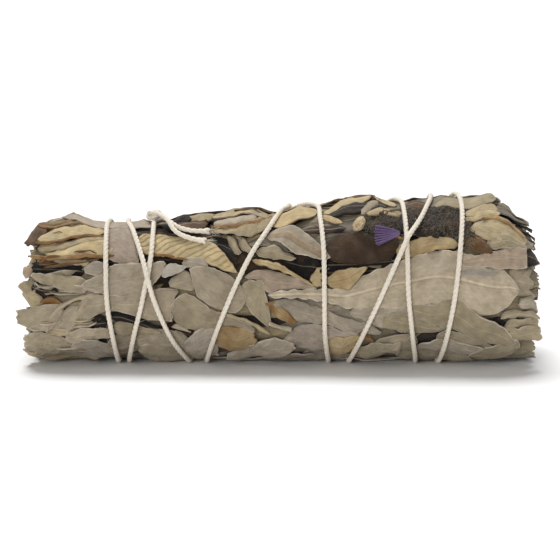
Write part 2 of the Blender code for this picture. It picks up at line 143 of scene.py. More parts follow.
def new_material(name: str) -> tuple[bpy.types.Material, bpy.types.NodeTree, Any]:
    """Makes an empty material. Returns it, its tree and its Principled shader."""
    material = bpy.data.materials.new(name)
    material.use_nodes = True
    tree = material.node_tree
    return material, tree, tree.nodes["Principled BSDF"]


# The form of the bunch


@dataclass(frozen=True)
class Bunch:
    """The skin of the bunch: its radius along x, and how it lies on the ground."""

    profile: Points = (
        (-55.0, 13.6), (-50.0, 14.5), (-36.0, 15.2), (-21.0, 15.4), (-4.0, 15.9), (6.0, 16.7),
        (25.0, 17.2), (35.0, 17.8), (45.0, 17.3), (50.0, 15.8), (55.0, 14.0),
    )
    spread: float = 1.03
    flat_depth: float = 0.8
    centre: tuple[float, float] = (-0.09, -0.53)
    least: float = 0.28

    def radius(self, x: Array | float) -> Array:
        """The radius at each x, eased between the profile's points."""
        xs = np.array([point[0] for point in self.profile])
        rs = np.array([point[1] for point in self.profile])
        x = np.clip(np.asarray(x, float), xs[0], xs[-1] - 1e-6)
        i = np.searchsorted(xs, x, side="right") - 1
        t = (x - xs[i]) / (xs[i + 1] - xs[i])
        return rs[i] + (rs[i + 1] - rs[i]) * t * t * (3 - 2 * t)

    def place(self, x: Array | float, turn: Array | float, height: Array | float) -> Array:
        """The points, in metres, at these places, never below the ground.

        Args:
            x: Distance along the bunch.
            turn: Degrees round it.
            height: Distance out of its skin.

        Returns:
            An array of points, one row each, or the one point.
        """
        radius = self.radius(x)
        angle = np.radians(turn)
        reach = radius + height
        y = -self.spread * reach * np.cos(angle) + self.centre[1]
        z = radius - self.flat_depth + reach * np.sin(angle)
        return np.stack([x + self.centre[0], y, np.maximum(z, self.least)], axis=-1) * MM


def resample(rows: Array, at: Array, places: Array) -> Array:
    """The rows at these places, between rows that are known at others."""
    return np.stack([np.interp(places, at, column) for column in rows.T], axis=-1)


def through(points: Points, t: Array) -> Array:
    """Points on the smooth curve through the given ones.

    Args:
        points: The curve's own points, of any number of values each.
        t: Places along the curve, from 0 to 1.

    Returns:
        One row of values for each t.
    """
    known = np.array(points, float)
    spans = len(known) - 1
    at = np.clip(t, 0.0, 1.0) * spans
    i = np.minimum(at.astype(int), spans - 1)
    f = (at - i)[:, None]
    a, b, c, d = known[np.maximum(i - 1, 0)], known[i], known[i + 1], known[np.minimum(i + 2, spans)]
    return 0.5 * (2 * b + (c - a) * f + (2 * a - 5 * b + 4 * c - d) * f**2 + (3 * b - a - 3 * c + d) * f**3)


@dataclass
class StringRun:
    """The route of the binding string over the bunch, pass by pass."""

    bunch: Bunch
    radius: float = 0.58
    height: float = 0.32
    crossing_lift: float = 1.32
    crossing_reach: float = 1.6
    step: int = 3
    top_sink: float = 0.75
    sink_from: float = -15.0
    sink_degrees: float = 26.0
    knot: tuple[float, float] = (-26.8, 88.0)
    turns: tuple[int, ...] = (90, 60, 30, 0, -30, -60, -90, -135, -180, -225)
    passes: Points = (
        (-26.8, -26.5, -26.8, -28.4, -30.4, -31.7, -32.1, -33.6, -35.0, -36.1),
        (-36.4, -36.1, -35.8, -35.5, -34.6, -34.0, -34.0, -34.0, -33.4, -32.8),
        (-32.1, -30.5, -28.2, -25.9, -22.8, -19.6, -18.5, -17.8, -10.5, -1.5),
        (6.8, 7.7, 8.3, 8.4, 8.6, 9.4, 9.8, 11.2, 16.0, 20.8),
        (24.4, 24.9, 25.1, 25.3, 26.3, 27.4, 27.8, 29.6, 32.4, 35.0),
        (36.5, 36.6, 35.8, 34.7, 33.4, 32.4, 32.0, 31.8, 31.4, 31.0),
        (30.9, 28.8, 24.2, 20.0, 16.3, 13.9, 13.6, 12.4, 7.0, 2.4),
        (-0.1, -2.4, -6.8, -10.8, -13.9, -15.6, -15.8, -17.4, -21.0, -24.4),
    )
    stations: Array = field(init=False)

    def __post_init__(self) -> None:
        """Works the stations out once."""
        self.stations = self.wind()

    def wind(self) -> Array:
        """Follows the string from the knot round all its passes, climbing over itself.

        Returns:
            Rows of (x, turn, height, height without its climbs), one every few degrees.
        """
        laps = len(self.passes)
        keys = [
            (90 - turn + 360 * lap, x)
            for lap, row in enumerate(self.passes)
            for turn, x in zip(self.turns, row)
        ]
        keys.append((360 * laps, self.knot[0]))
        angles = np.array([key[0] for key in keys], float)
        places = np.array([key[1] for key in keys], float)
        slopes = np.empty(len(keys))
        slopes[1:-1] = (places[2:] - places[:-2]) / (angles[2:] - angles[:-2])
        slopes[0] = (places[1] - places[0]) / (angles[1] - angles[0])
        slopes[-1] = (places[-1] - places[-2]) / (angles[-1] - angles[-2])
        at = np.arange(self.step, 360 * laps - 2, self.step, dtype=float)
        i = np.clip(np.searchsorted(angles, at, side="left") - 1, 0, len(keys) - 2)
        run = angles[i + 1] - angles[i]
        t = (at - angles[i]) / run
        x = (
            places[i] * (1 + 2 * t) * (1 - t) ** 2
            + places[i + 1] * t * t * (3 - 2 * t)
            + run * (slopes[i] * t * (1 - t) ** 2 - slopes[i + 1] * t * t * (1 - t))
        )
        radius = self.bunch.radius(x)
        lift = np.zeros(len(at))
        for n in range(len(at)):
            earlier = at < at[n] - 90
            if earlier.any():
                arc = np.radians((at[n] - at[earlier] + 180) % 360 - 180) * radius[n]
                away = np.hypot(x[n] - x[earlier], arc)
                climb = (self.crossing_lift + lift[earlier]) * np.exp(-((away / self.crossing_reach) ** 2))
                lift[n] = climb.max()
        around = (at + 180) % 360 - 180
        sink = self.top_sink * (1 + np.clip((self.sink_from - x) / 10, 0, 1))
        sink *= np.exp(-((around / self.sink_degrees) ** 2))
        return np.stack([x, 90 - at, self.height - sink + lift, self.height - sink], axis=-1)

    def nearest(self, x: Array, turn: Array) -> tuple[Array, Array]:
        """How far each place is, over the skin, from the nearest string, and how high that lies."""
        radius = self.bunch.radius(x)[:, None]
        arc = np.radians((turn[:, None] - self.stations[None, :, 1] + 180) % 360 - 180) * radius
        away = np.hypot(x[:, None] - self.stations[None, :, 0], arc)
        return away.min(axis=1), self.stations[away.argmin(axis=1), 3]


# Leaves


class End(Enum):
    """How a leaf ends."""

    ROUND = "drawn in to a round"
    TORN = "torn across"
    SHARP = "as its edges meet"


CUT_ENDS = (End.SHARP, End.SHARP)
TORN_ENDS = (End.TORN, End.TORN)


@dataclass(frozen=True)
class Leaf:
    """One dried leaf, given by its upper and its lower edge: x, turn, x, turn and so on, left to right.

    level is the height of its middle, tilt its rise to the right and lean its rise to the lower
    edge. age runs from 0, grey, over 0.5, ochre, to 1, nearly black, and tint from 0, dark, to 1,
    light. blush is pink above 0 and bluish under it. rib is the midrib's half width, rib_at its
    place across, pale its lightness and vein the strength of the side veins. cup bends the leaf
    across, fold creases it along the midrib, and roll turns its lower and its upper edge up, in
    radians. wave is the height of the frill along its edges. ends says how its left and its
    right end are closed, and cell is the size of its mesh's cells.
    """

    upper: Sequence[float]
    lower: Sequence[float]
    level: float = 0.0
    age: float = 0.05
    tint: float = 0.5
    blush: float = 0.0
    rib: float = 0.12
    rib_at: float = 0.0
    pale: float = 0.8
    vein: float = 0.1
    cup: float = -0.1
    fold: float = 0.1
    roll: tuple[float, float] = (0.0, 0.0)
    wave: float = 0.12
    tilt: float = 0.0
    lean: float = 0.0
    ends: tuple[End, End] = (End.ROUND, End.ROUND)
    cell: float = 0.62


@dataclass
class LeafPress:
    """Forms leaves, bends them round the bunch and presses them down under the string."""

    bunch: Bunch
    string: StringRun
    ceiling: float = -0.74
    release: float = 0.07
    squeeze: float = 0.14
    swell_sizes: tuple[float, ...] = (23.0, 10.0)
    swell_heights: tuple[float, ...] = (0.2, 0.12)
    ripple_sizes: tuple[float, ...] = (6.5, 3.4, 1.9)
    ripple_heights: tuple[float, ...] = (0.085, 0.06, 0.03)
    ragged_sizes: tuple[float, ...] = (2.7, 1.3)
    ragged_heights: tuple[float, ...] = (0.1, 0.06)
    torn_times: float = 2.6
    edge_steps: int = 72
    open_from: float = 47.6
    swell_seed: int = 5
    sheet: float = 0.26
    edge_passes: int = 14
    section_steps: int = 81
    curl_from: float = 0.6
    fold_width: float = 0.12
    fewest_cells: tuple[int, int] = (6, 4)
    most_cells: tuple[int, int] = (70, 20)
    narrowest: float = 0.8
    ridge_height: float = 0.8
    # Painted shade: depth_shade darkens a leaf for each millimetre it lies deeper, within shade_limits.
    depth_shade: float = 0.3
    tint_shade: tuple[float, float] = (0.74, 0.5)
    shade_limits: tuple[float, float] = (0.12, 1.08)

    def start(self) -> bmesh.types.BMesh:
        """A bmesh with the layers that every leaf writes: its look, its grain and its rib."""
        bm = bmesh.new()
        bm.verts.layers.float_color.new("blade")
        bm.verts.layers.float_vector.new("grain")
        bm.verts.layers.float_vector.new("rib")
        return bm

    def edge(self, numbers: Sequence[float]) -> Array:
        """One edge as rows of (x, arc) at even steps of its length, its corners eased."""
        known = np.array(numbers, float).reshape(-1, 2)
        known[:, 1] = np.radians(known[:, 1]) * self.bunch.radius(known[:, 0])
        at = np.concatenate([[0.0], np.cumsum(np.hypot(*np.diff(known, axis=0).T))])
        fine = np.linspace(0, at[-1], self.edge_steps)
        line = resample(known, at, fine)
        for _ in range(self.edge_passes):
            line[1:-1] = (line[:-2] + 2 * line[1:-1] + line[2:]) / 4
        return line

    def section(self, leaf: Leaf, side: Array) -> tuple[Array, Array]:
        """The cut across a leaf.

        Args:
            leaf: The leaf.
            side: Places across it, -1 to 1.

        Returns:
            The offset across and the rise of each place, as shares of the half width.
        """
        fine = np.linspace(-1, 1, self.section_steps)
        curled = np.clip((np.abs(fine) - self.curl_from) / (1 - self.curl_from), 0, 1) ** 1.5
        roll = np.where(fine < 0, -leaf.roll[0], leaf.roll[1])
        from_rib = fine - leaf.rib_at
        crease = np.sign(from_rib) * leaf.fold * np.exp(-((from_rib / self.fold_width) ** 2))
        angle = leaf.cup * fine + roll * curled + crease
        step = fine[1] - fine[0]
        across = np.cumsum(np.cos(angle)) * step
        rise = np.cumsum(np.sin(angle)) * step
        middle = len(fine) // 2
        across -= across[middle]
        rise -= rise[middle]
        return np.interp(side, fine, across), np.interp(side, fine, rise)

    def waves(
        self, x: Array, arc: Array, rng: random.Random, sizes: Sequence[float], heights: Sequence[float]
    ) -> Array:
        """The heights of a few crossing waves.

        Args:
            x: Places along.
            arc: Places across.
            rng: Picks the waves' ways and phases.
            sizes: About how long each wave is.
            heights: How high each is.

        Returns:
            One height for each place.
        """
        height = np.zeros(len(x))
        for size, rise in zip(sizes, heights):
            for _ in range(2):
                way = rng.uniform(0, math.pi)
                phase = rng.uniform(0, math.tau)
                length = size * rng.uniform(0.8, 1.25)
                height += rise * np.sin(math.tau * (x * math.cos(way) + arc * math.sin(way)) / length + phase)
        return height

    def shape_ends(
        self, leaf: Leaf, t: Array, spot: Array, widths: Array, length: float, rng: random.Random
    ) -> tuple[Array, Array]:
        """Rounds or tears the ends of a leaf.

        Args:
            leaf: The leaf.
            t: Places along it, 0 to 1.
            spot: The same places across it, in millimetres.
            widths: Its half widths, at even steps along it.
            length: Its length.
            rng: Picks the tears.

        Returns:
            The share that each place is drawn in to, and how far it is moved along.
        """
        fine = np.linspace(0, 1, self.edge_steps)
        shrink = np.ones(len(t))
        shift = np.zeros(len(t))
        for end, near, way, inside in ((leaf.ends[0], t, -1.0, 0.1), (leaf.ends[1], 1 - t, 1.0, 0.9)):
            share = min(max(float(np.interp(inside, fine, widths)) / length, 0.02), 0.35)
            if end is End.ROUND:
                shrink *= np.sqrt(np.clip(1 - np.clip(1 - near / share, 0, 1) ** 2, 0.02, 1))
            elif end is End.TORN:
                ragged = self.waves(spot, spot * 0, rng, self.ragged_sizes, self.ragged_heights)
                shift += way * ragged * self.torn_times * np.clip(1 - near / max(share, 0.08), 0, 1)
        return shrink, shift

    def add(self, bm: bmesh.types.BMesh, leaf: Leaf, seed: int, crumple: float = 1.0) -> None:
        """Adds one leaf to the bmesh.

        Args:
            bm: Made by start().
            leaf: The leaf.
            seed: Picks the leaf's own crumpling and look.
            crumple: How strongly its surface is crumpled.
        """
        rng = random.Random(seed)
        upper, lower = self.edge(leaf.upper), self.edge(leaf.lower)
        middle, reach = (upper + lower) / 2, (upper - lower) / 2
        length = float(np.hypot(*np.diff(middle, axis=0).T).sum()) + 0.1
        widest = float(np.hypot(*reach.T).max()) * 2
        cells = (length / leaf.cell, widest / leaf.cell * 1.25)
        cells = [int(value) for value in np.clip(cells, self.fewest_cells, self.most_cells)]
        verts = bmesh.ops.create_grid(bm, x_segments=cells[0], y_segments=cells[1], size=1.0)["verts"]
        t = np.array([(vert.co.x + 1) / 2 for vert in verts])
        side = np.array([vert.co.y for vert in verts])
        fine = np.linspace(0, 1, self.edge_steps)
        run = np.gradient(middle, axis=0)
        run /= np.maximum(np.hypot(*run.T), 1e-6)[:, None]
        mid, half, ahead = (resample(rows, fine, t) for rows in (middle, reach, run))
        across, rise = self.section(leaf, side)
        wide = np.hypot(*half.T)
        shrink, shift = self.shape_ends(leaf, t, side * wide, np.hypot(*reach.T), length, rng)
        frayed = self.waves(t * length, side * 3, rng, self.ragged_sizes, self.ragged_heights) * np.abs(side) ** 6
        stretch = across * shrink + frayed / np.maximum(wide, self.narrowest)
        x = mid[:, 0] + half[:, 0] * stretch + ahead[:, 0] * shift
        arc = mid[:, 1] + half[:, 1] * stretch + ahead[:, 1] * shift
        beat = length / rng.uniform(6, 11)
        frill = rng.uniform(0, math.tau)
        waved = leaf.wave * np.abs(side) ** 1.6 * np.sin(math.tau * beat * t + frill + 1.3 * np.sign(side))
        off = (side - leaf.rib_at) * wide
        ridge = self.ridge_height * leaf.rib * np.exp(-((off / max(leaf.rib, 0.2)) ** 2))
        height = leaf.level + leaf.tilt * (t - 0.5) - leaf.lean * side + wide * shrink * rise + waved * crumple + ridge
        height += self.waves(x, arc, random.Random(self.swell_seed), self.swell_sizes, self.swell_heights)
        height += self.waves(x, arc, rng, self.ripple_sizes, self.ripple_heights) * crumple
        turn = np.degrees(arc / self.bunch.radius(x))
        points = self.bunch.place(x, turn, self.press(x, turn, height))
        look = bm.verts.layers.float_color["blade"]
        grain = bm.verts.layers.float_vector["grain"]
        rib = bm.verts.layers.float_vector["rib"]
        tint = min(max(leaf.tint + rng.uniform(-0.1, 0.1), 0.0), 1.0)
        # Painted shade: a leaf is drawn darker the deeper it lies under the others and a little lighter where it
        # stands up; past open_from, at the open ends, the darkening is lifted.
        painted_shading = np.maximum(1 + self.depth_shade * (height + 0.2), (np.abs(x) - self.open_from) / 4)
        bright = (self.tint_shade[0] + self.tint_shade[1] * tint) * np.clip(painted_shading, *self.shade_limits)
        offset = rng.uniform(0, 50)
        to_edge = np.minimum((1 - np.abs(side)) * wide * shrink, np.minimum(t, 1 - t) * length)
        for i, (vert, point) in enumerate(zip(verts, points)):
            vert.co = point
            vert[look] = (bright[i], leaf.age, to_edge[i], leaf.blush)
            vert[grain] = (t[i] * length, off[i], offset)
            vert[rib] = (leaf.rib, leaf.pale, leaf.vein)

    def press(self, x: Array, turn: Array, height: Array) -> Array:
        """Squeezes what would stand into the string, more gently further away, in its order."""
        away, base = self.string.nearest(x, turn)
        limit = base + self.ceiling + self.release * away**2
        over = np.maximum(height - limit, 0.0)
        return height - over * (1 - self.squeeze)


def slim_leaf(
    bunch: Bunch, spine: Points, width: float, belly: float, powers: tuple[float, float]
) -> tuple[Sequence[float], Sequence[float]]:
    """The two edges of a long leaf.

    Args:
        bunch: What it lies on.
        spine: The (x, turn) points of its midrib, left to right.
        width: Its greatest width.
        belly: Where along it is widest.
        powers: How quickly it narrows to its left and to its right end.

    Returns:
        Its upper and its lower edge.
    """
    t = np.linspace(0, 1, 9)
    line = through(spine, t)
    step = through(spine, np.minimum(t + 0.02, 1)) - through(spine, np.maximum(t - 0.02, 0))
    radius = bunch.radius(line[:, 0])
    run = np.stack([step[:, 0], np.radians(step[:, 1]) * radius], axis=-1)
    run /= np.hypot(*run.T)[:, None]
    left = np.sin(np.pi / 2 * np.clip(t / belly, 0, 1)) ** powers[0]
    right = np.cos(np.pi / 2 * np.clip((t - belly) / (1 - belly), 0, 1)) ** powers[1]
    half = width / 2 * np.maximum(np.where(t < belly, left, right), 0.06)
    out = np.stack([-run[:, 1] * half, np.degrees(run[:, 0] * half / radius)], axis=-1)
    return tuple((line + out).ravel()), tuple((line - out).ravel())


def add_object(name: str, data: Any) -> bpy.types.Object:
    """Adds an object with this data to the scene."""
    made = bpy.data.objects.new(name, data)
    bpy.context.scene.collection.objects.link(made)
    return made


def add_mesh(name: str, bm: bmesh.types.BMesh, material: bpy.types.Material) -> bpy.types.Object:
    """Adds a bmesh to the scene as an object of one material, and frees it."""
    mesh = bpy.data.meshes.new(name)
    bm.to_mesh(mesh)
    bm.free()
    mesh.materials.append(material)
    return add_object(name, mesh)


def finish_mesh(
    name: str,
    bm: bmesh.types.BMesh,
    material: bpy.types.Material,
    nodes: Iterable[str],
    thickness: float = 0.0,
) -> None:
    """Makes a bmesh a finished piece that rides on the bunch.

    Args:
        name: The piece's name.
        bm: Its mesh, freed here.
        material: Its finish.
        nodes: The frame's nodes that it stands for.
        thickness: The thickness given to an open sheet, inwards.
    """
    piece = add_mesh(name, bm, material)
    piece.data.shade_smooth()
    if thickness:
        solidify = piece.modifiers.new("thickness", "SOLIDIFY")
        solidify.thickness = thickness * MM
        solidify.offset = -1.0
    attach(piece, BODY)
    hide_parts(*nodes)
    LOG.info("%s: %d faces", name, len(piece.data.polygons))


# Finishes


@dataclass(frozen=True)
class DriedLeaf:
    """Air-dried white sage: a thin, downy leaf, matt and finely pebbled, with a raised midrib."""

    name: str = "air-dried white sage leaf"
    fresh: str = "#9A8E7B"
    dusty: str = "#8F8269"
    straw: str = "#AC9A74"
    golden: str = "#7C5A34"
    brown: str = "#453322"
    charred: str = "#16110F"
    cool: str = "#928C85"
    olive: str = "#7F7459"
    pink: str = "#9C7E72"
    bluish: str = "#B4B4B5"
    cream_rib: str = "#BFB29A"
    brown_rib: str = "#74512C"
    # This colour darkens the sunk side veins, partly their own colour and partly painted shade in their folds, and
    # paints the shadow beside the midrib.
    vein_and_shadow: str = "#5C4A31"
    rim_highlight: str = "#BDB2A2"
    brown_rim: str = "#563D23"
    vein_mm: float = 1.8
    pebble_mm: float = 0.42
    fibre_mm: tuple[float, float] = (2.4, 0.26)
    mottle_mm: float = 5.0
    fleck_mm: float = 1.3
    lump_mm: float = 1.9
    rim_mm: float = 0.2
    stops: tuple[float, ...] = (0.0, 0.2, 0.38, 0.55, 0.76, 1.0)
    grey_ages: tuple[float, float] = (0.12, 0.3)
    vein_slant: float = 1.2
    vein_wander: float = 3.0
    vein_sharpness: float = 7.0
    vein_strength: float = 0.6
    fleck_range: tuple[float, float] = (0.66, 0.8)
    fleck_strength: float = 0.45
    rim_strength: float = 0.7
    fibre_shade: tuple[float, float] = (0.4, 0.8)
    lump_shade: tuple[float, float] = (0.9, 0.55)
    pebble_relief: float = 0.35
    fibre_relief: float = 0.5
    vein_relief: float = 1.6
    lump_relief: float = 2.4
    relief: tuple[float, float] = (0.75, 0.25)
    pebble_roughness: float = 0.12
    roughness: float = 0.81
    shine: float = 0.2
    down: float = 0.1
    down_roughness: float = 0.6

    def material(self) -> bpy.types.Material:
        """Builds the material from the blade, grain and rib attributes of the leaf's mesh."""
        material, tree, shader = new_material(self.name)

        def maths(operation: str, *values: Any, clamp: bool = False) -> Any:
            """One sum on the leaf's numbers."""
            inputs = dict(enumerate(values))
            return add_node(tree, "ShaderNodeMath", inputs, operation=operation, use_clamp=clamp).outputs[0]

        def share(value: Any, low: float, high: float) -> Any:
            """How far a value is from low to high, 0 to 1."""
            return maths("MULTIPLY", maths("SUBTRACT", value, low), 1 / (high - low), clamp=True)

        def tinted(colour: Any, factor: Any, code: str) -> Any:
            """A colour blended with a hex colour."""
            return add_mix(tree, factor, colour, linear(code))

        parts = add_node(tree, "ShaderNodeSeparateColor", {"Color": read(tree, "blade", "Color")})
        bright, age, to_edge = parts.outputs["Red"], parts.outputs["Green"], parts.outputs["Blue"]
        grain = read(tree, "grain")
        along, off, offset = add_node(tree, "ShaderNodeSeparateXYZ", {0: grain}).outputs
        rib_half, pale, veined = add_node(tree, "ShaderNodeSeparateXYZ", {0: read(tree, "rib")}).outputs

        mottle = add_noise(tree, grain, 1 / self.mottle_mm, 4.0)
        swing = maths("MULTIPLY", maths("SUBTRACT", mottle, 0.5), maths("MULTIPLY_ADD", age, 0.5, 0.14))
        aged = maths("ADD", age, swing, clamp=True)
        codes = (self.fresh, self.dusty, self.straw, self.golden, self.brown, self.charred)
        colour = add_ramp(tree, aged, tuple(zip(self.stops, codes)))
        grey = maths("SUBTRACT", 1.0, share(age, *self.grey_ages))
        colour = tinted(colour, maths("MULTIPLY", grey, share(offset, 28.0, 70.0)), self.cool)
        colour = tinted(colour, maths("MULTIPLY", grey, share(offset, 18.0, -14.0)), self.olive)
        blush = read(tree, "blade", "Alpha")
        colour = tinted(colour, share(blush, 0.0, 1.0), self.pink)
        colour = tinted(colour, share(blush, 0.0, -1.0), self.bluish)
        wide = maths("ABSOLUTE", off)
        rib = share(maths("DIVIDE", wide, maths("MAXIMUM", rib_half, 0.01)), 1.15, 0.55)
        # Painted shadow: a dark strip along one side of the raised midrib.
        rib_shadow = maths("ABSOLUTE", maths("ADD", off, maths("MULTIPLY", rib_half, 1.7)))
        rib_shadow = share(maths("DIVIDE", rib_shadow, maths("MAXIMUM", rib_half, 0.01)), 1.0, 0.2)
        slant = maths("SUBTRACT", along, maths("MULTIPLY", wide, self.vein_slant))
        phase = maths("ADD", slant, maths("MULTIPLY", mottle, self.vein_wander))
        crest = maths("ABSOLUTE", maths("SINE", maths("MULTIPLY", phase, math.pi / self.vein_mm)))
        vein = maths("MULTIPLY", maths("POWER", crest, self.vein_sharpness), veined)
        vein = maths("MULTIPLY", vein, share(to_edge, 0.0, 0.8))
        fibre = add_noise(tree, grain, (1 / self.fibre_mm[0], 1 / self.fibre_mm[1], 1.0), 2.0)
        # The veins are drawn dark: partly their own colour, partly painted shade in their folds.
        colour = tinted(colour, maths("MULTIPLY", vein, self.vein_strength), self.vein_and_shadow)
        colour = tinted(colour, maths("MULTIPLY", rib_shadow, share(rib_half, 0.1, 0.8)), self.vein_and_shadow)
        rib_colour = add_mix(tree, pale, linear(self.brown_rib), linear(self.cream_rib))
        colour = add_mix(tree, maths("MULTIPLY", rib, share(rib_half, 0.0, 0.36)), colour, rib_colour)
        flecks = share(add_noise(tree, grain, 1 / self.fleck_mm, 2.0), *self.fleck_range)
        colour = tinted(colour, maths("MULTIPLY", flecks, self.fleck_strength), self.golden)
        # The rim: a pale painted highlight along the edges of grey leaves, where their thickness catches the light,
        # and a real brown edge on older leaves.
        rim_colour = add_mix(tree, share(age, 0.15, 0.4), linear(self.rim_highlight), linear(self.brown_rim))
        rim = maths("MULTIPLY", share(age, 0.62, 0.4), self.rim_strength)
        colour = add_mix(tree, maths("MULTIPLY", share(to_edge, self.rim_mm, 0.0), rim), colour, rim_colour)
        lumps = add_noise(tree, grain, 1 / self.lump_mm, 5.0)
        # bright is the leaf's tint times its painted shade of depth, set in LeafPress.add.
        value = maths("MULTIPLY", bright, maths("MULTIPLY_ADD", fibre, *self.fibre_shade))
        value = maths("MULTIPLY", value, maths("MULTIPLY_ADD", lumps, *self.lump_shade))
        grey_value = add_node(tree, "ShaderNodeCombineColor", {0: value, 1: value, 2: value}).outputs[0]
        pebble_inputs = {"Vector": grain, "Scale": 1 / self.pebble_mm}
        pebble = add_node(tree, "ShaderNodeTexVoronoi", pebble_inputs, feature="F1").outputs["Distance"]
        height = maths("MULTIPLY", pebble, self.pebble_relief)
        for part, share_of in (
            (fibre, self.fibre_relief), (vein, -self.vein_relief), (lumps, self.lump_relief)
        ):
            height = maths("MULTIPLY_ADD", part, share_of, height)
        set_inputs(tree, shader, {
            "Base Color": add_mix(tree, 1.0, colour, grey_value, "MULTIPLY"),
            "Normal": add_bump(tree, height, self.relief),
            "Roughness": maths("MULTIPLY_ADD", pebble, self.pebble_roughness, self.roughness),
            "Specular IOR Level": self.shine,
            "Sheen Weight": self.down,
            "Sheen Roughness": self.down_roughness,
        })
        return material


@dataclass(frozen=True)
class TwistedCotton:
    """Undyed cotton kitchen string: three soft strands twisted together, matt, a little hairy."""

    name: str = "undyed twisted cotton"
    pale: str = "#F0E9DD"
    shaded: str = "#DCCFBA"
    fibre_mm: tuple[float, float] = (0.88, 0.22)
    relief: tuple[float, float] = (0.5, 0.1)
    roughness: float = 0.92
    shine: float = 0.2
    fuzz: float = 0.25

    def material(self) -> bpy.types.Material:
        """Builds the material, with fibres that run along each strand."""
        material, tree, shader = new_material(self.name)
        grain = read(tree, "grain")
        fibres = add_noise(tree, grain, (1 / self.fibre_mm[0], 1 / self.fibre_mm[1], 1.0), 3.0)
        # The strands' colour runs from shaded to pale with the fibres' height: painted shade between the fibres and
        # painted light on them.
        set_inputs(tree, shader, {
            "Base Color": add_mix(tree, fibres, linear(self.shaded), linear(self.pale)),
            "Normal": add_bump(tree, fibres, self.relief),
            "Roughness": self.roughness,
            "Specular IOR Level": self.shine,
            "Sheen Weight": self.fuzz,
        })
        return material


@dataclass(frozen=True)
class CutWood:
    """A dried sage stem: brown, ridged bark round a pale, fibrous cut with a dark pith."""

    name: str = "dried sage stem"
    bark: str = "#5E452F"
    under: str = "#7B5E3E"
    wood: str = "#C2A276"
    pith: str = "#4A3423"
    stops: tuple[float, ...] = (0.14, 0.24, 0.8, 0.92, 1.0)
    ridge_mm: tuple[float, float, float] = (4.0, 0.5, 0.5)
    relief: tuple[float, float] = (0.7, 0.2)
    roughness: float = 0.85

    def material(self) -> bpy.types.Material:
        """Builds the material; the cut attribute is 0 at the pith and 1 on the bark."""
        material, tree, shader = new_material(self.name)
        cut = read(tree, "cut", "Fac")
        spot = add_node(tree, "ShaderNodeTexCoord").outputs["Object"]
        ridges = add_noise(tree, spot, tuple(1 / (size * MM) for size in self.ridge_mm), 3.0)
        colour = add_ramp(tree, cut, tuple(zip(self.stops, (self.pith, self.wood, self.wood, self.under, self.bark))))
        set_inputs(tree, shader, {
            "Base Color": add_mix(tree, ridges, colour, linear(self.under), "SOFT_LIGHT"),
            "Normal": add_bump(tree, ridges, self.relief),
            "Roughness": self.roughness,
        })
        return material


@dataclass(frozen=True)
class PaperyPetal:
    """A dried statice calyx: papery, pleated and purple, with painted shade in its folds and painted light on its
    ridges.
    """

    name: str = "dried statice calyx"
    deep: str = "#2C173C"
    bright: str = "#5A406E"
    vein_mm: tuple[float, float] = (1.0, 0.3)
    vein_gain: float = 1.7
    relief: tuple[float, float] = (0.4, 0.1)
    roughness: float = 0.6
    sheen: float = 0.2

    def material(self) -> bpy.types.Material:
        """Builds the material; the grain attribute runs along the petal and across its pleats."""
        material, tree, shader = new_material(self.name)
        grain = read(tree, "grain")
        ridge = add_node(tree, "ShaderNodeSeparateColor", {"Color": read(tree, "blade", "Color")}).outputs["Red"]
        veins = add_noise(tree, grain, (1 / self.vein_mm[0], 1 / self.vein_mm[1], 1.0), 2.0)
        # Painted light and shade: the colour follows the pleats, deep in their folds and bright on their crests,
        # broken by the vein noise.
        factor = add_node(tree, "ShaderNodeMath", {0: ridge, 1: veins}, operation="MULTIPLY").outputs[0]
        inputs = {0: factor, 1: self.vein_gain}
        factor = add_node(tree, "ShaderNodeMath", inputs, operation="MULTIPLY", use_clamp=True).outputs[0]
        set_inputs(tree, shader, {
            "Base Color": add_mix(tree, factor, linear(self.deep), linear(self.bright)),
            "Normal": add_bump(tree, veins, self.relief),
            "Roughness": self.roughness,
            "Sheen Weight": self.sheen,
        })
        return material


@dataclass(frozen=True)
class DryBud:
    """A dried flower bud: small overlapping bracts, cream with tan creases."""

    name: str = "dried cream bud"
    pale: str = "#DCCBA8"
    crease: str = "#8F7448"
    bract_mm: float = 0.4
    relief: tuple[float, float] = (0.8, -0.3)
    roughness: float = 0.85

    def material(self) -> bpy.types.Material:
        """Builds the material from a net of bracts."""
        material, tree, shader = new_material(self.name)
        spot = add_node(tree, "ShaderNodeTexCoord").outputs["Object"]
        inputs = {"Vector": spot, "Scale": 1 / (self.bract_mm * MM)}
        net = add_node(tree, "ShaderNodeTexVoronoi", inputs).outputs["Distance"]
        set_inputs(tree, shader, {
            "Base Color": add_mix(tree, net, linear(self.pale), linear(self.crease)),
            "Normal": add_bump(tree, net, self.relief),
            "Roughness": self.roughness,
        })
        return material


# Pieces


@dataclass(frozen=True)
class Sprig:
    """The leaves of one colour between two turns, each as (left end, right end).

    outer is how many layers of seeded leaves lie on its sunken ones.
    """

    name: str
    node: str
    slot: str
    low: tuple[float, float]
    high: tuple[float, float]
    leaves: tuple[Leaf, ...]
    seed: int
    outer: int = 0


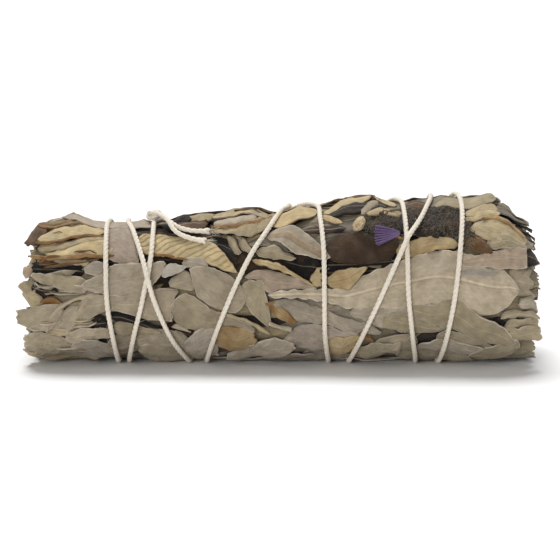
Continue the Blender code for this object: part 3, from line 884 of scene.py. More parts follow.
@dataclass
class Foliage:
    """All the leaves of the bunch, one piece for each sprig."""

    bunch: Bunch
    press: LeafPress
    sprigs: tuple[Sprig, ...]
    leaf: DriedLeaf = DriedLeaf()
    core_depth: float = 3.6
    # Painted shade: the core is drawn dim and nearly black.
    painted_core_shade: tuple[float, ...] = (0.25, 1.0, 0.5, 0.0)
    core_end: float = 46.0
    cut_end: float = 52.6
    half_length: float = 47.0
    row_width: float = 14.0
    stations: tuple[float, ...] = (-37.0, -13.0, 11.0, 35.0)
    depths: tuple[float, ...] = (-2.6, -1.7, -1.1, -0.3, 0.3)
    sunken: int = 3
    sunken_below: float = -1.0
    rings: tuple[float, ...] = (2.4, 4.8, 7.2, 9.4, 11.4, 13.0, 14.3)
    ring_gap: float = 2.1
    end_start: float = 37.0
    torn_from: float = 49.0
    crumples: tuple[float, float] = (0.6, 1.5)
    cells: tuple[float, float, float] = (1.6, 0.85, 1.25)

    def turn_at(self, sprig: Sprig, x: float, share: float) -> float:
        """The turn at a share of the sprig's width, at x."""
        along = (x + self.half_length) / (2 * self.half_length)
        low = sprig.low[0] + (sprig.low[1] - sprig.low[0]) * along
        high = sprig.high[0] + (sprig.high[1] - sprig.high[0]) * along
        return low + (high - low) * share

    def add_core(self, bm: bmesh.types.BMesh, sprig: Sprig) -> None:
        """Adds the packed inside of a sprig, closed at both its ends, drawn nearly black as painted shade for the
        hollows between its leaves.
        """
        look = bm.verts.layers.float_color["blade"]
        grain = bm.verts.layers.float_vector["grain"]
        made = bmesh.ops.create_grid(bm, x_segments=30, y_segments=8, size=1.0)
        for vert in made["verts"]:
            beyond = max(0.0, abs(vert.co.x) - 0.8) / 0.2
            x = math.copysign(min(abs(vert.co.x) / 0.8, 1.0) * self.core_end, vert.co.x)
            radius = float(self.bunch.radius(x))
            reach = (radius - self.core_depth) * (1 - beyond) + 0.4 * beyond
            turn = self.turn_at(sprig, x, (vert.co.y + 1) / 2)
            vert.co = self.bunch.place(x, turn, reach - radius)
            vert[look] = self.painted_core_shade
            vert[grain] = (x, turn, 0.0)

    def dress(self, rng: random.Random, depth: float) -> dict[str, Any]:
        """Picks a seeded leaf's colour, rib and curl; sunken leaves are drawn dim and, the deeper they lie, more often
        nearly black, as painted shade.
        """
        kind = rng.random()
        if depth < self.sunken_below:
            # Painted shade: below sunken_below, leaves are dim and often nearly black, more often the deeper they lie.
            age = rng.uniform(0.75, 1.0) if kind < 0.26 - 0.12 * depth else rng.uniform(0.05, 0.4)
            return {"age": age, "tint": rng.uniform(0.2, 0.5), "cell": self.cells[0]}
        curl = (rng.choice((0.0, 0.0, 0.5, 1.2)), rng.choice((0.0, 0.0, 0.6, 1.4)))
        look = {"tint": rng.uniform(0.3, 0.75), "roll": curl, "cup": rng.uniform(-0.3, 0.05), "cell": self.cells[1]}
        if kind < 0.72:
            look.update(age=rng.uniform(0.02, 0.13), blush=rng.choice((0.0, 0.0, 0.2, -0.15)))
        elif kind < 0.9:
            look.update(age=rng.uniform(0.28, 0.42), pale=0.0, rib=rng.uniform(0.25, 0.45), vein=rng.uniform(0.1, 0.4))
        elif kind < 0.96:
            look.update(age=rng.uniform(0.4, 0.52), pale=0.2)
        else:
            look.update(age=rng.uniform(0.75, 0.95), rib=0.0)
        return look

    def add_rows(self, bm: bmesh.types.BMesh, sprig: Sprig) -> None:
        """Adds the seeded leaves: three sunken layers everywhere, and outer ones where the sprig has them."""
        rng = random.Random(sprig.seed)
        span = sum(sprig.high) / 2 - sum(sprig.low) / 2
        rows = max(2, round(span / self.row_width))
        for depth in self.depths[:self.sunken + sprig.outer]:
            places = [(place, row) for place in self.stations for row in range(rows)]
            if depth > 0:
                places = rng.sample(places, len(places) // 2)
            for place, row in places:
                middle = place + rng.uniform(-9, 9)
                half = rng.choice((rng.uniform(17, 25), rng.uniform(14, 20), rng.uniform(8, 13)))
                turn = self.turn_at(sprig, middle, (row + rng.uniform(0.1, 0.9)) / rows)
                slope = rng.uniform(-11, 11)
                ends = (
                    (max(middle - half, -self.cut_end + rng.uniform(0, 1.8)), turn - slope),
                    (min(middle + half, self.cut_end - rng.uniform(0, 1.8)), turn + slope),
                )
                spine = (ends[0], ((ends[0][0] + ends[1][0]) / 2, turn + rng.uniform(-4, 4)), ends[1])
                torn = [abs(end[0]) > self.torn_from for end in ends]
                powers = tuple(0.35 if at_end else rng.uniform(0.6, 1.2) for at_end in torn)
                edges = slim_leaf(self.bunch, spine, rng.uniform(6.0, 12.0), rng.uniform(0.35, 0.65), powers)
                leaf = Leaf(
                    *edges, depth + rng.uniform(-0.04, 0.04), wave=rng.uniform(0.03, 0.1), lean=0.36, tilt=0.2,
                    ends=tuple(End.TORN if at_end else End.ROUND for at_end in torn), **self.dress(rng, depth),
                )
                self.press.add(bm, leaf, rng.randrange(10**6), self.crumples[0])

    def add_ends(self, bm: bmesh.types.BMesh, sprig: Sprig) -> None:
        """Adds the nest of curled leaf ends that shows at both ends of the bunch."""
        rng = random.Random(sprig.seed + 500)
        span = sum(sprig.high) / 2 - sum(sprig.low) / 2
        for end in (-1, 1):
            start = self.end_start * end
            radius = float(self.bunch.radius(start))
            for ring in self.rings:
                count = max(1, round(math.radians(span) * ring / self.ring_gap))
                for n in range(count):
                    reach = (rng.uniform(50.3, 52.8) - 0.05 * max(0.0, ring - 10) ** 2) * end
                    turn = self.turn_at(sprig, start, (n + rng.uniform(0.2, 0.8)) / count)
                    slope = rng.uniform(-9, 9)
                    spine = [(start, turn), ((start + reach) / 2, turn + slope / 2), (reach, turn + slope)]
                    width = rng.uniform(2.6, 6.0) * radius / ring
                    leaf = Leaf(
                        *slim_leaf(self.bunch, sorted(spine), width, 0.5, (0.3, 0.3)), ring - radius,
                        min(1.0, max(0.02, rng.gauss(0.22, 0.18))), rng.uniform(0.3, 0.8),
                        rng.choice((0.0, 0.0, 0.2)), vein=0.2,
                        cup=rng.choice((-1.0, 1.0)) * rng.uniform(0.5, 2.2) * ring / radius,
                        roll=(rng.uniform(-0.6, 0.9), rng.uniform(-0.6, 0.9)), ends=TORN_ENDS, wave=0.4,
                        cell=self.cells[2],
                    )
                    self.press.add(bm, leaf, rng.randrange(10**6), self.crumples[1])

    def build(self) -> None:
        """Builds every sprig's piece."""
        material = self.leaf.material()
        for sprig in self.sprigs:
            bm = self.press.start()
            self.add_core(bm, sprig)
            self.add_rows(bm, sprig)
            self.add_ends(bm, sprig)
            for n, leaf in enumerate(sprig.leaves):
                self.press.add(bm, leaf, sprig.seed * 1000 + n)
            finish_mesh(sprig.name, bm, material, [sprig.node], self.press.sheet)


def add_tube(bm: bmesh.types.BMesh, line: Array, radius: Array, sides: int, offset: float, step: float = 0.4) -> None:
    """Adds a tube round a line.

    Args:
        bm: The mesh to add to, with a grain layer.
        line: The points of its middle, in metres.
        radius: Its radius at each point, in millimetres.
        sides: How many sides it has.
        offset: Shifts its fibre pattern.
        step: The length that the fibre pattern takes for each point.
    """
    grain = bm.verts.layers.float_vector["grain"]
    made = bmesh.ops.create_grid(bm, x_segments=len(line) - 1, y_segments=sides, size=1.0)
    ahead = np.gradient(line, axis=0)
    ahead /= np.linalg.norm(ahead, axis=1)[:, None]
    one = np.empty_like(ahead)
    one[0] = np.cross(ahead[0], (0.31, 0.52, 0.79))
    for i in range(1, len(line)):
        one[i] = one[i - 1] - ahead[i] * np.dot(one[i - 1], ahead[i])
    one /= np.linalg.norm(one, axis=1)[:, None]
    other = np.cross(ahead, one)
    for vert in made["verts"]:
        i = round((vert.co.x + 1) / 2 * (len(line) - 1))
        angle = (vert.co.y + 1) * math.pi
        out = one[i] * math.cos(angle) + other[i] * math.sin(angle)
        vert[grain] = (i * step, angle * radius[i], offset)
        vert.co = line[i] + out * radius[i] * MM
    bmesh.ops.remove_doubles(bm, verts=made["verts"], dist=1e-7)


def close_tubes(bm: bmesh.types.BMesh) -> None:
    """Closes every open end and turns all faces outwards."""
    open_edges = [edge for edge in bm.edges if edge.is_boundary]
    bmesh.ops.holes_fill(bm, edges=open_edges, sides=0)
    bmesh.ops.recalc_face_normals(bm, faces=bm.faces)


@dataclass
class Binding:
    """The cotton string: three twisted strands, a tied knot and two frayed tails."""

    bunch: Bunch
    run: StringRun
    finish: TwistedCotton = TwistedCotton()
    strands: int = 3
    strand_radius: float = 0.33
    strand_offset: float = 0.21
    lay_length: float = 3.2
    station: float = 0.42
    sides: int = 6
    seed: int = 41
    flare: tuple[float, ...] = (1.1, 1.3, 1.6, 2.0, 2.4)
    fray_fibres: int = 16
    fray_radii: tuple[float, float] = (0.07, 0.03)
    hairs: int = 420
    hair_radii: tuple[float, float] = (0.028, 0.014)
    hair_floor: float = 0.1
    knot_radius: float = 15.3
    loops: Points = ((0.5, 1.15), (-0.6, 1.0))
    tails: tuple[Points, ...] = (
        ((-26.4, 87, 0.9), (-24.2, 73, 0.9), (-21.8, 61, 0.9), (-18.6, 56, 0.8), (-14.9, 54.5, 0.8)),
        ((-26.2, 84, 0.9), (-23.8, 68, 1.4), (-21.9, 55, 1.1), (-19.1, 49, 0.8), (-15.6, 45, 0.8)),
    )

    def evenly(self, points: Array, step: float) -> Array:
        """The same line, in points that are a step of millimetres apart."""
        gaps = np.linalg.norm(np.diff(points, axis=0), axis=1)
        at = np.concatenate([[0.0], np.cumsum(gaps)])
        count = max(4, int(at[-1] / (step * MM)))
        fine = np.linspace(0, at[-1], count)
        return resample(points, at, fine)

    def add_strands(self, bm: bmesh.types.BMesh, line: Array, flared: bool = False) -> None:
        """Adds the twisted strands along a line, in metres, coming apart where its end is flared."""
        line = self.evenly(line, self.station)
        ahead = np.gradient(line, axis=0)
        ahead /= np.linalg.norm(ahead, axis=1)[:, None]
        guide = np.array([1.0, 0.02, 0.03])
        one = np.cross(ahead, guide)
        one /= np.linalg.norm(one, axis=1)[:, None]
        other = np.cross(ahead, one)
        twist = np.arange(len(line)) * self.station / self.lay_length * math.tau
        for strand in range(self.strands):
            angle = twist + math.tau * strand / self.strands
            out = one * np.cos(angle)[:, None] + other * np.sin(angle)[:, None]
            spread = np.ones(len(line))
            if flared:
                spread[-len(self.flare):] = self.flare
            middle = line + out * (self.strand_offset * spread)[:, None] * MM
            add_tube(bm, middle, np.full(len(line), self.strand_radius), self.sides, 7.0 * strand, self.station)

    def add_fray(self, bm: bmesh.types.BMesh, end: Array, way: Array, rng: random.Random) -> None:
        """Adds the loose fibres at a cut end."""
        for _ in range(self.fray_fibres):
            side = np.array([rng.uniform(-1, 1) for _ in range(3)])
            length = rng.uniform(0.8, 1.9) * MM
            t = np.linspace(0, 1, 5)[:, None]
            line = end + side * 0.35 * MM + (way * t + side * 0.45 * t**2) * length
            add_tube(bm, line, np.linspace(*self.fray_radii, 5), 3, rng.uniform(0, 9))

    def add_hairs(self, bm: bmesh.types.BMesh, line: Array, rng: random.Random) -> None:
        """Adds short stray fibres along the string."""
        for _ in range(self.hairs):
            i = rng.randrange(2, len(line) - 2)
            way = line[i + 1] - line[i - 1]
            way /= np.linalg.norm(way)
            out = np.cross(way, np.array([rng.uniform(-1, 1) for _ in range(3)]))
            out /= np.linalg.norm(out)
            t = np.linspace(0, 1, 4)[:, None]
            lean = rng.uniform(-1.0, 1.0)
            length = rng.uniform(0.5, 1.1) * MM
            hair = line[i] + out * 0.45 * MM + (out * t + way * lean * t**1.5) * length
            hair[:, 2] = np.maximum(hair[:, 2], self.hair_floor * MM)
            add_tube(bm, hair, np.linspace(*self.hair_radii, 4), 3, rng.uniform(0, 9))

    def knot_loops(self) -> list[Array]:
        """The string's path in the knot: two small turns, one over the other."""
        paths = []
        for tilt, size in self.loops:
            angle = np.linspace(0, 1.75 * math.pi, 26)
            x = self.run.knot[0] + size * np.cos(angle)
            arc = size * 0.8 * np.sin(angle)
            turn = self.run.knot[1] + np.degrees(arc / self.knot_radius)
            height = 0.35 + tilt * np.sin(angle + 0.7)
            paths.append(self.bunch.place(x, turn, height))
        return paths

    def build(self) -> None:
        """Builds the whole string as one piece."""
        rng = random.Random(self.seed)
        bm = bmesh.new()
        bm.verts.layers.float_vector.new("grain")
        wound = self.bunch.place(*self.run.stations.T[:3])
        wound[:, 2] = np.maximum(wound[:, 2], (self.run.radius + 0.02) * MM)
        self.add_strands(bm, wound)
        for loop in self.knot_loops():
            self.add_strands(bm, loop)
        for tail in self.tails:
            line = self.bunch.place(*through(tail, np.linspace(0, 1, 24)).T)
            self.add_strands(bm, line, flared=True)
            way = line[-1] - line[-3]
            self.add_fray(bm, line[-1], way / np.linalg.norm(way), rng)
        self.add_hairs(bm, wound, rng)
        close_tubes(bm)
        finish_mesh("cotton_string", bm, self.finish.material(), ["binding_string"])


@dataclass(frozen=True)
class Stem:
    """One cut woody stem: where it starts and ends, its place in the bunch and its radius."""

    node: str
    inner: float
    outer: float
    turn: float
    depth: float
    radius: float


@dataclass
class Stems:
    """The woody stems, each with ridged bark and a pale cut end."""

    bunch: Bunch
    finish: CutWood = CutWood()
    stems: tuple[Stem, ...] = (
        Stem("woody_stem_1", 12.0, 53.6, 0, 16.2, 1.95),
        Stem("woody_stem_2", 26.0, 50.8, 52, 3.9, 1.5),
        Stem("woody_stem_3", 24.0, 50.6, -52, 3.6, 1.4),
        Stem("woody_stem_4", 30.0, 49.8, 90, 3.5, 1.15),
        Stem("woody_stem_5", -50.6, -26.0, 196, 4.6, 1.3),
    )
    sides: int = 20
    rings: int = 24
    end_rings: int = 6
    seed: int = 60

    def build(self) -> None:
        """Builds each stem from a grid rolled into a bar, its ends drawn in to the middle."""
        material = self.finish.material()
        for n, stem in enumerate(self.stems):
            rng = random.Random(self.seed + n)
            lobes = [rng.uniform(0, math.tau) for _ in range(3)]
            bm = bmesh.new()
            cut = bm.verts.layers.float.new("cut")
            base_x = stem.outer if stem.outer > 0 else stem.inner
            base = self.bunch.place(base_x, stem.turn, -stem.depth)
            steps = self.rings + 2 * self.end_rings
            bmesh.ops.create_grid(bm, x_segments=steps, y_segments=self.sides, size=1.0)
            for vert in bm.verts:
                place = (vert.co.x + 1) / 2 * steps
                angle = (vert.co.y + 1) * math.pi
                near, far = self.end_rings - place, place - (self.rings + self.end_rings)
                inward = max(near, far, 0.0) / self.end_rings
                along = min(max(place - self.end_rings, 0) / self.rings, 1.0)
                x = stem.inner + (stem.outer - stem.inner) * along
                rough = 1 + 0.05 * math.sin(3 * angle + lobes[0]) + 0.04 * math.sin(7 * angle + lobes[1])
                rough += 0.03 * math.sin(0.9 * x + lobes[2] + angle)
                reach = stem.radius * 0.95 * rough * (1 - inward) + 0.01
                dish = 0.25 * math.sin(5 * angle + lobes[0]) * inward * (1 - inward)
                vert[cut] = 1 - inward
                end = 1 if far > 0 else -1
                vert.co = Vector((
                    (x + end * dish) * MM,
                    base[1] + reach * math.cos(angle) * MM,
                    base[2] + reach * math.sin(angle) * MM,
                ))
            bmesh.ops.remove_doubles(bm, verts=bm.verts, dist=2e-5)
            bmesh.ops.recalc_face_normals(bm, faces=bm.faces)
            finish_mesh(stem.node.replace("woody", "cut"), bm, material, [stem.node])


@dataclass
class Bloom:
    """The pleated statice calyx and the cream bud beside it."""

    bunch: Bunch
    press: LeafPress
    petal: PaperyPetal = PaperyPetal()
    bud: DryBud = DryBud()
    start: tuple[float, float] = (23.7, 40.5)
    length: float = 4.9
    widths: tuple[float, float] = (0.7, 4.5)
    height: float = 1.0
    pleats: int = 7
    pleat: float = 0.34
    sheet: float = 0.12
    bud_at: tuple[float, float, float] = (15.6, 51.0, 0.7)
    bud_size: tuple[float, float, float] = (1.2, 1.75, 1.15)

    def build_calyx(self) -> None:
        """Builds the fan: pleats that open from a narrow stalk to a toothed edge."""
        bm = self.press.start()
        look = bm.verts.layers.float_color["blade"]
        grain = bm.verts.layers.float_vector["grain"]
        bmesh.ops.create_grid(bm, x_segments=18, y_segments=8 * self.pleats, size=1.0)
        x0, turn0 = self.start
        radius = float(self.bunch.radius(x0))
        for vert in bm.verts:
            t = (vert.co.x + 1) / 2
            side = vert.co.y
            wave = math.cos(side * math.pi * self.pleats)
            half = (self.widths[0] + (self.widths[1] - self.widths[0]) * t**0.8) / 2
            tooth = 0.35 * t**6 * wave
            x = x0 - self.length * t - tooth + 0.25 * side * side * t
            arc = math.radians(turn0) * radius + side * half - 0.4 * t
            height = self.height + self.pleat * wave * t**0.7 * (0.5 + 0.5 * t) + 0.5 * t * side * side
            turn = math.degrees(arc / radius)
            # The first value is the pleat's crest, which the calyx's painted light and shade follow.
            vert[look] = (0.5 + 0.5 * wave, 0.0, abs(side), 0.0)
            vert[grain] = (t * self.length, side * half, 0.0)
            vert.co = self.bunch.place(x, turn, height)
        finish_mesh("statice_calyx", bm, self.petal.material(), ["statice_flower"], self.sheet)

    def build_bud(self) -> None:
        """Builds the bud: an egg of overlapping bracts, pinched at its foot."""
        bm = bmesh.new()
        bmesh.ops.create_icosphere(bm, subdivisions=4, radius=1.0)
        x0, turn0, height0 = self.bud_at
        radius = float(self.bunch.radius(x0))
        for vert in bm.verts:
            spot = vert.co.copy()
            polar = math.atan2(spot.z, spot.x)
            scale = 1 + 0.04 * math.sin(5 * polar + 4 * spot.y) + 0.04 * math.sin(9 * spot.y + polar)
            taper = 1 - 0.22 * spot.y
            turn = turn0 + math.degrees(spot.y * self.bud_size[1] / radius)
            x = x0 + spot.x * self.bud_size[0] * scale * taper + 0.5 * spot.y
            height = height0 + spot.z * self.bud_size[2] * scale * taper
            vert.co = self.bunch.place(x, turn, height)
        bmesh.ops.recalc_face_normals(bm, faces=bm.faces)
        finish_mesh("cream_dry_bud", bm, self.bud.material(), ["cream_bud"])

    def build(self) -> None:
        """Builds the calyx and the bud."""
        self.build_calyx()
        self.build_bud()


@dataclass
class LooseLeaves:
    """Single leaves of another colour that lie on the sprigs, and the down on one of them."""

    press: LeafPress
    leaf: DriedLeaf = DriedLeaf()
    seed: int = 900
    crumple: float = 1.8
    hairs: int = 900
    hair_seed: int = 77
    hair_radius: float = 0.026
    hair_look: tuple[float, ...] = (0.95, 0.1, 1.0, 0.0)

    def build_down(self, leaf: Leaf) -> None:
        """Builds the pale, curled hairs that stand on the downy leaf."""
        rng = random.Random(self.hair_seed)
        bm = self.press.start()
        look = bm.verts.layers.float_color["blade"]
        upper, lower = self.press.edge(leaf.upper), self.press.edge(leaf.lower)
        for _ in range(self.hairs):
            i = rng.randrange(1, len(upper) - 1)
            share = rng.uniform(0.06, 0.94)
            x, arc = upper[i] * share + lower[i] * (1 - share)
            way = rng.uniform(0, math.tau)
            length = rng.uniform(0.5, 1.3)
            t = np.linspace(0, 1, 4)
            xs = x + length * t * math.cos(way)
            arcs = arc + length * (t * math.sin(way) + 0.35 * t**2 * math.cos(way))
            turn = np.degrees(arcs / self.press.bunch.radius(xs))
            base = self.press.press(xs, turn, np.full(4, leaf.level + 0.1))
            line = self.press.bunch.place(xs, turn, base + rng.uniform(0.25, 0.6) * np.sin(math.pi * t * 0.8))
            add_tube(bm, line, np.linspace(self.hair_radius, self.hair_radius / 2, 4), 3, rng.uniform(0, 9))
        for vert in bm.verts:
            vert[look] = self.hair_look
        close_tubes(bm)
        finish_mesh("leaf_down", bm, self.leaf.material(), ["fuzzy_leaf"])

    def build(self) -> None:
        """Builds the dark leaf, the downy dark leaf with its hairs, and the dark petal."""
        material = self.leaf.material()
        pieces = (
            ("dark_brown_leaf", "dark_leaf", "brown_leaf", DARK_LEAF),
            ("downy_dark_leaf", "fuzzy_leaf", "charcoal_leaf", DOWNY_LEAF),
            ("dark_dry_petal", "dark_petal", "charcoal_leaf", DARK_PETAL),
        )
        for n, (name, node, slot, leaf) in enumerate(pieces):
            bm = self.press.start()
            self.press.add(bm, leaf, self.seed + n, self.crumple)
            finish_mesh(name, bm, material, [node], self.press.sheet)
        self.build_down(DOWNY_LEAF)


# Stage


@dataclass
class Studio:
    """The plain floor, soft light and camera."""

    elevation: float = 9.5
    distance: float = 420.0
    aim: tuple[float, float, float] = (-0.62, 0.0, 16.2)
    lens: float = 128.57
    sensor: float = 36.0
    floor_size: float = 9.0
    floor: str = "#F6F6F6"
    room: float = 0.21
    lights: tuple[tuple[str, tuple[float, float, float], float, float], ...] = (
        ("top light", (-0.1, 0.4, 1.0), 38.0, 3.2),
        ("front light", (-0.4, -1.0, 0.26), 28.0, 1.1),
        ("side light", (1.0, -0.15, 0.4), 40.0, 0.55),
    )

    def build_floor(self) -> None:
        """Lays a plain white floor."""
        bm = bmesh.new()
        bmesh.ops.create_grid(bm, x_segments=1, y_segments=1, size=self.floor_size / 2)
        material, tree, shader = new_material("white studio paper")
        set_inputs(tree, shader, {"Base Color": linear(self.floor), "Roughness": 1.0, "Specular IOR Level": 0.0})
        add_mesh("floor", bm, material)

    def add_light(self, name: str, way: tuple[float, float, float], angle: float, power: float) -> None:
        """Adds a broad, even light that comes from a direction, angle degrees wide."""
        data = bpy.data.lights.new(name, "SUN")
        data.angle = math.radians(angle)
        data.energy = power
        add_object(name, data).rotation_euler = (-Vector(way)).to_track_quat("-Z", "Y").to_euler()

    def build_lights(self) -> None:
        """Sets a white room and three broad lights: from above, from the front and from the side."""
        world = bpy.data.worlds.new("white room")
        world.use_nodes = True
        background = world.node_tree.nodes["Background"]
        set_inputs(world.node_tree, background, {"Color": linear("#FFFFFF"), "Strength": self.room})
        bpy.context.scene.world = world
        for light in self.lights:
            self.add_light(*light)
        bpy.context.scene.view_settings.view_transform = "Standard"

    def build_camera(self) -> None:
        """Sets the camera on a level with the photograph's."""
        data = bpy.data.cameras.new("camera")
        data.lens = self.lens
        data.sensor_width = self.sensor
        camera = add_object("camera", data)
        tilt = math.radians(self.elevation)
        back = Vector((0.0, -math.cos(tilt), math.sin(tilt)))
        camera.location = (Vector(self.aim) + back * self.distance) * MM
        camera.rotation_euler = (-back).to_track_quat("-Z", "Y").to_euler()
        bpy.context.scene.camera = camera

    def build(self) -> None:
        """Builds the floor, the lights and the camera."""
        self.build_floor()
        self.build_lights()
        self.build_camera()


# The leaves that the photo shows, their edges read off it as x, turn, x, turn and so on

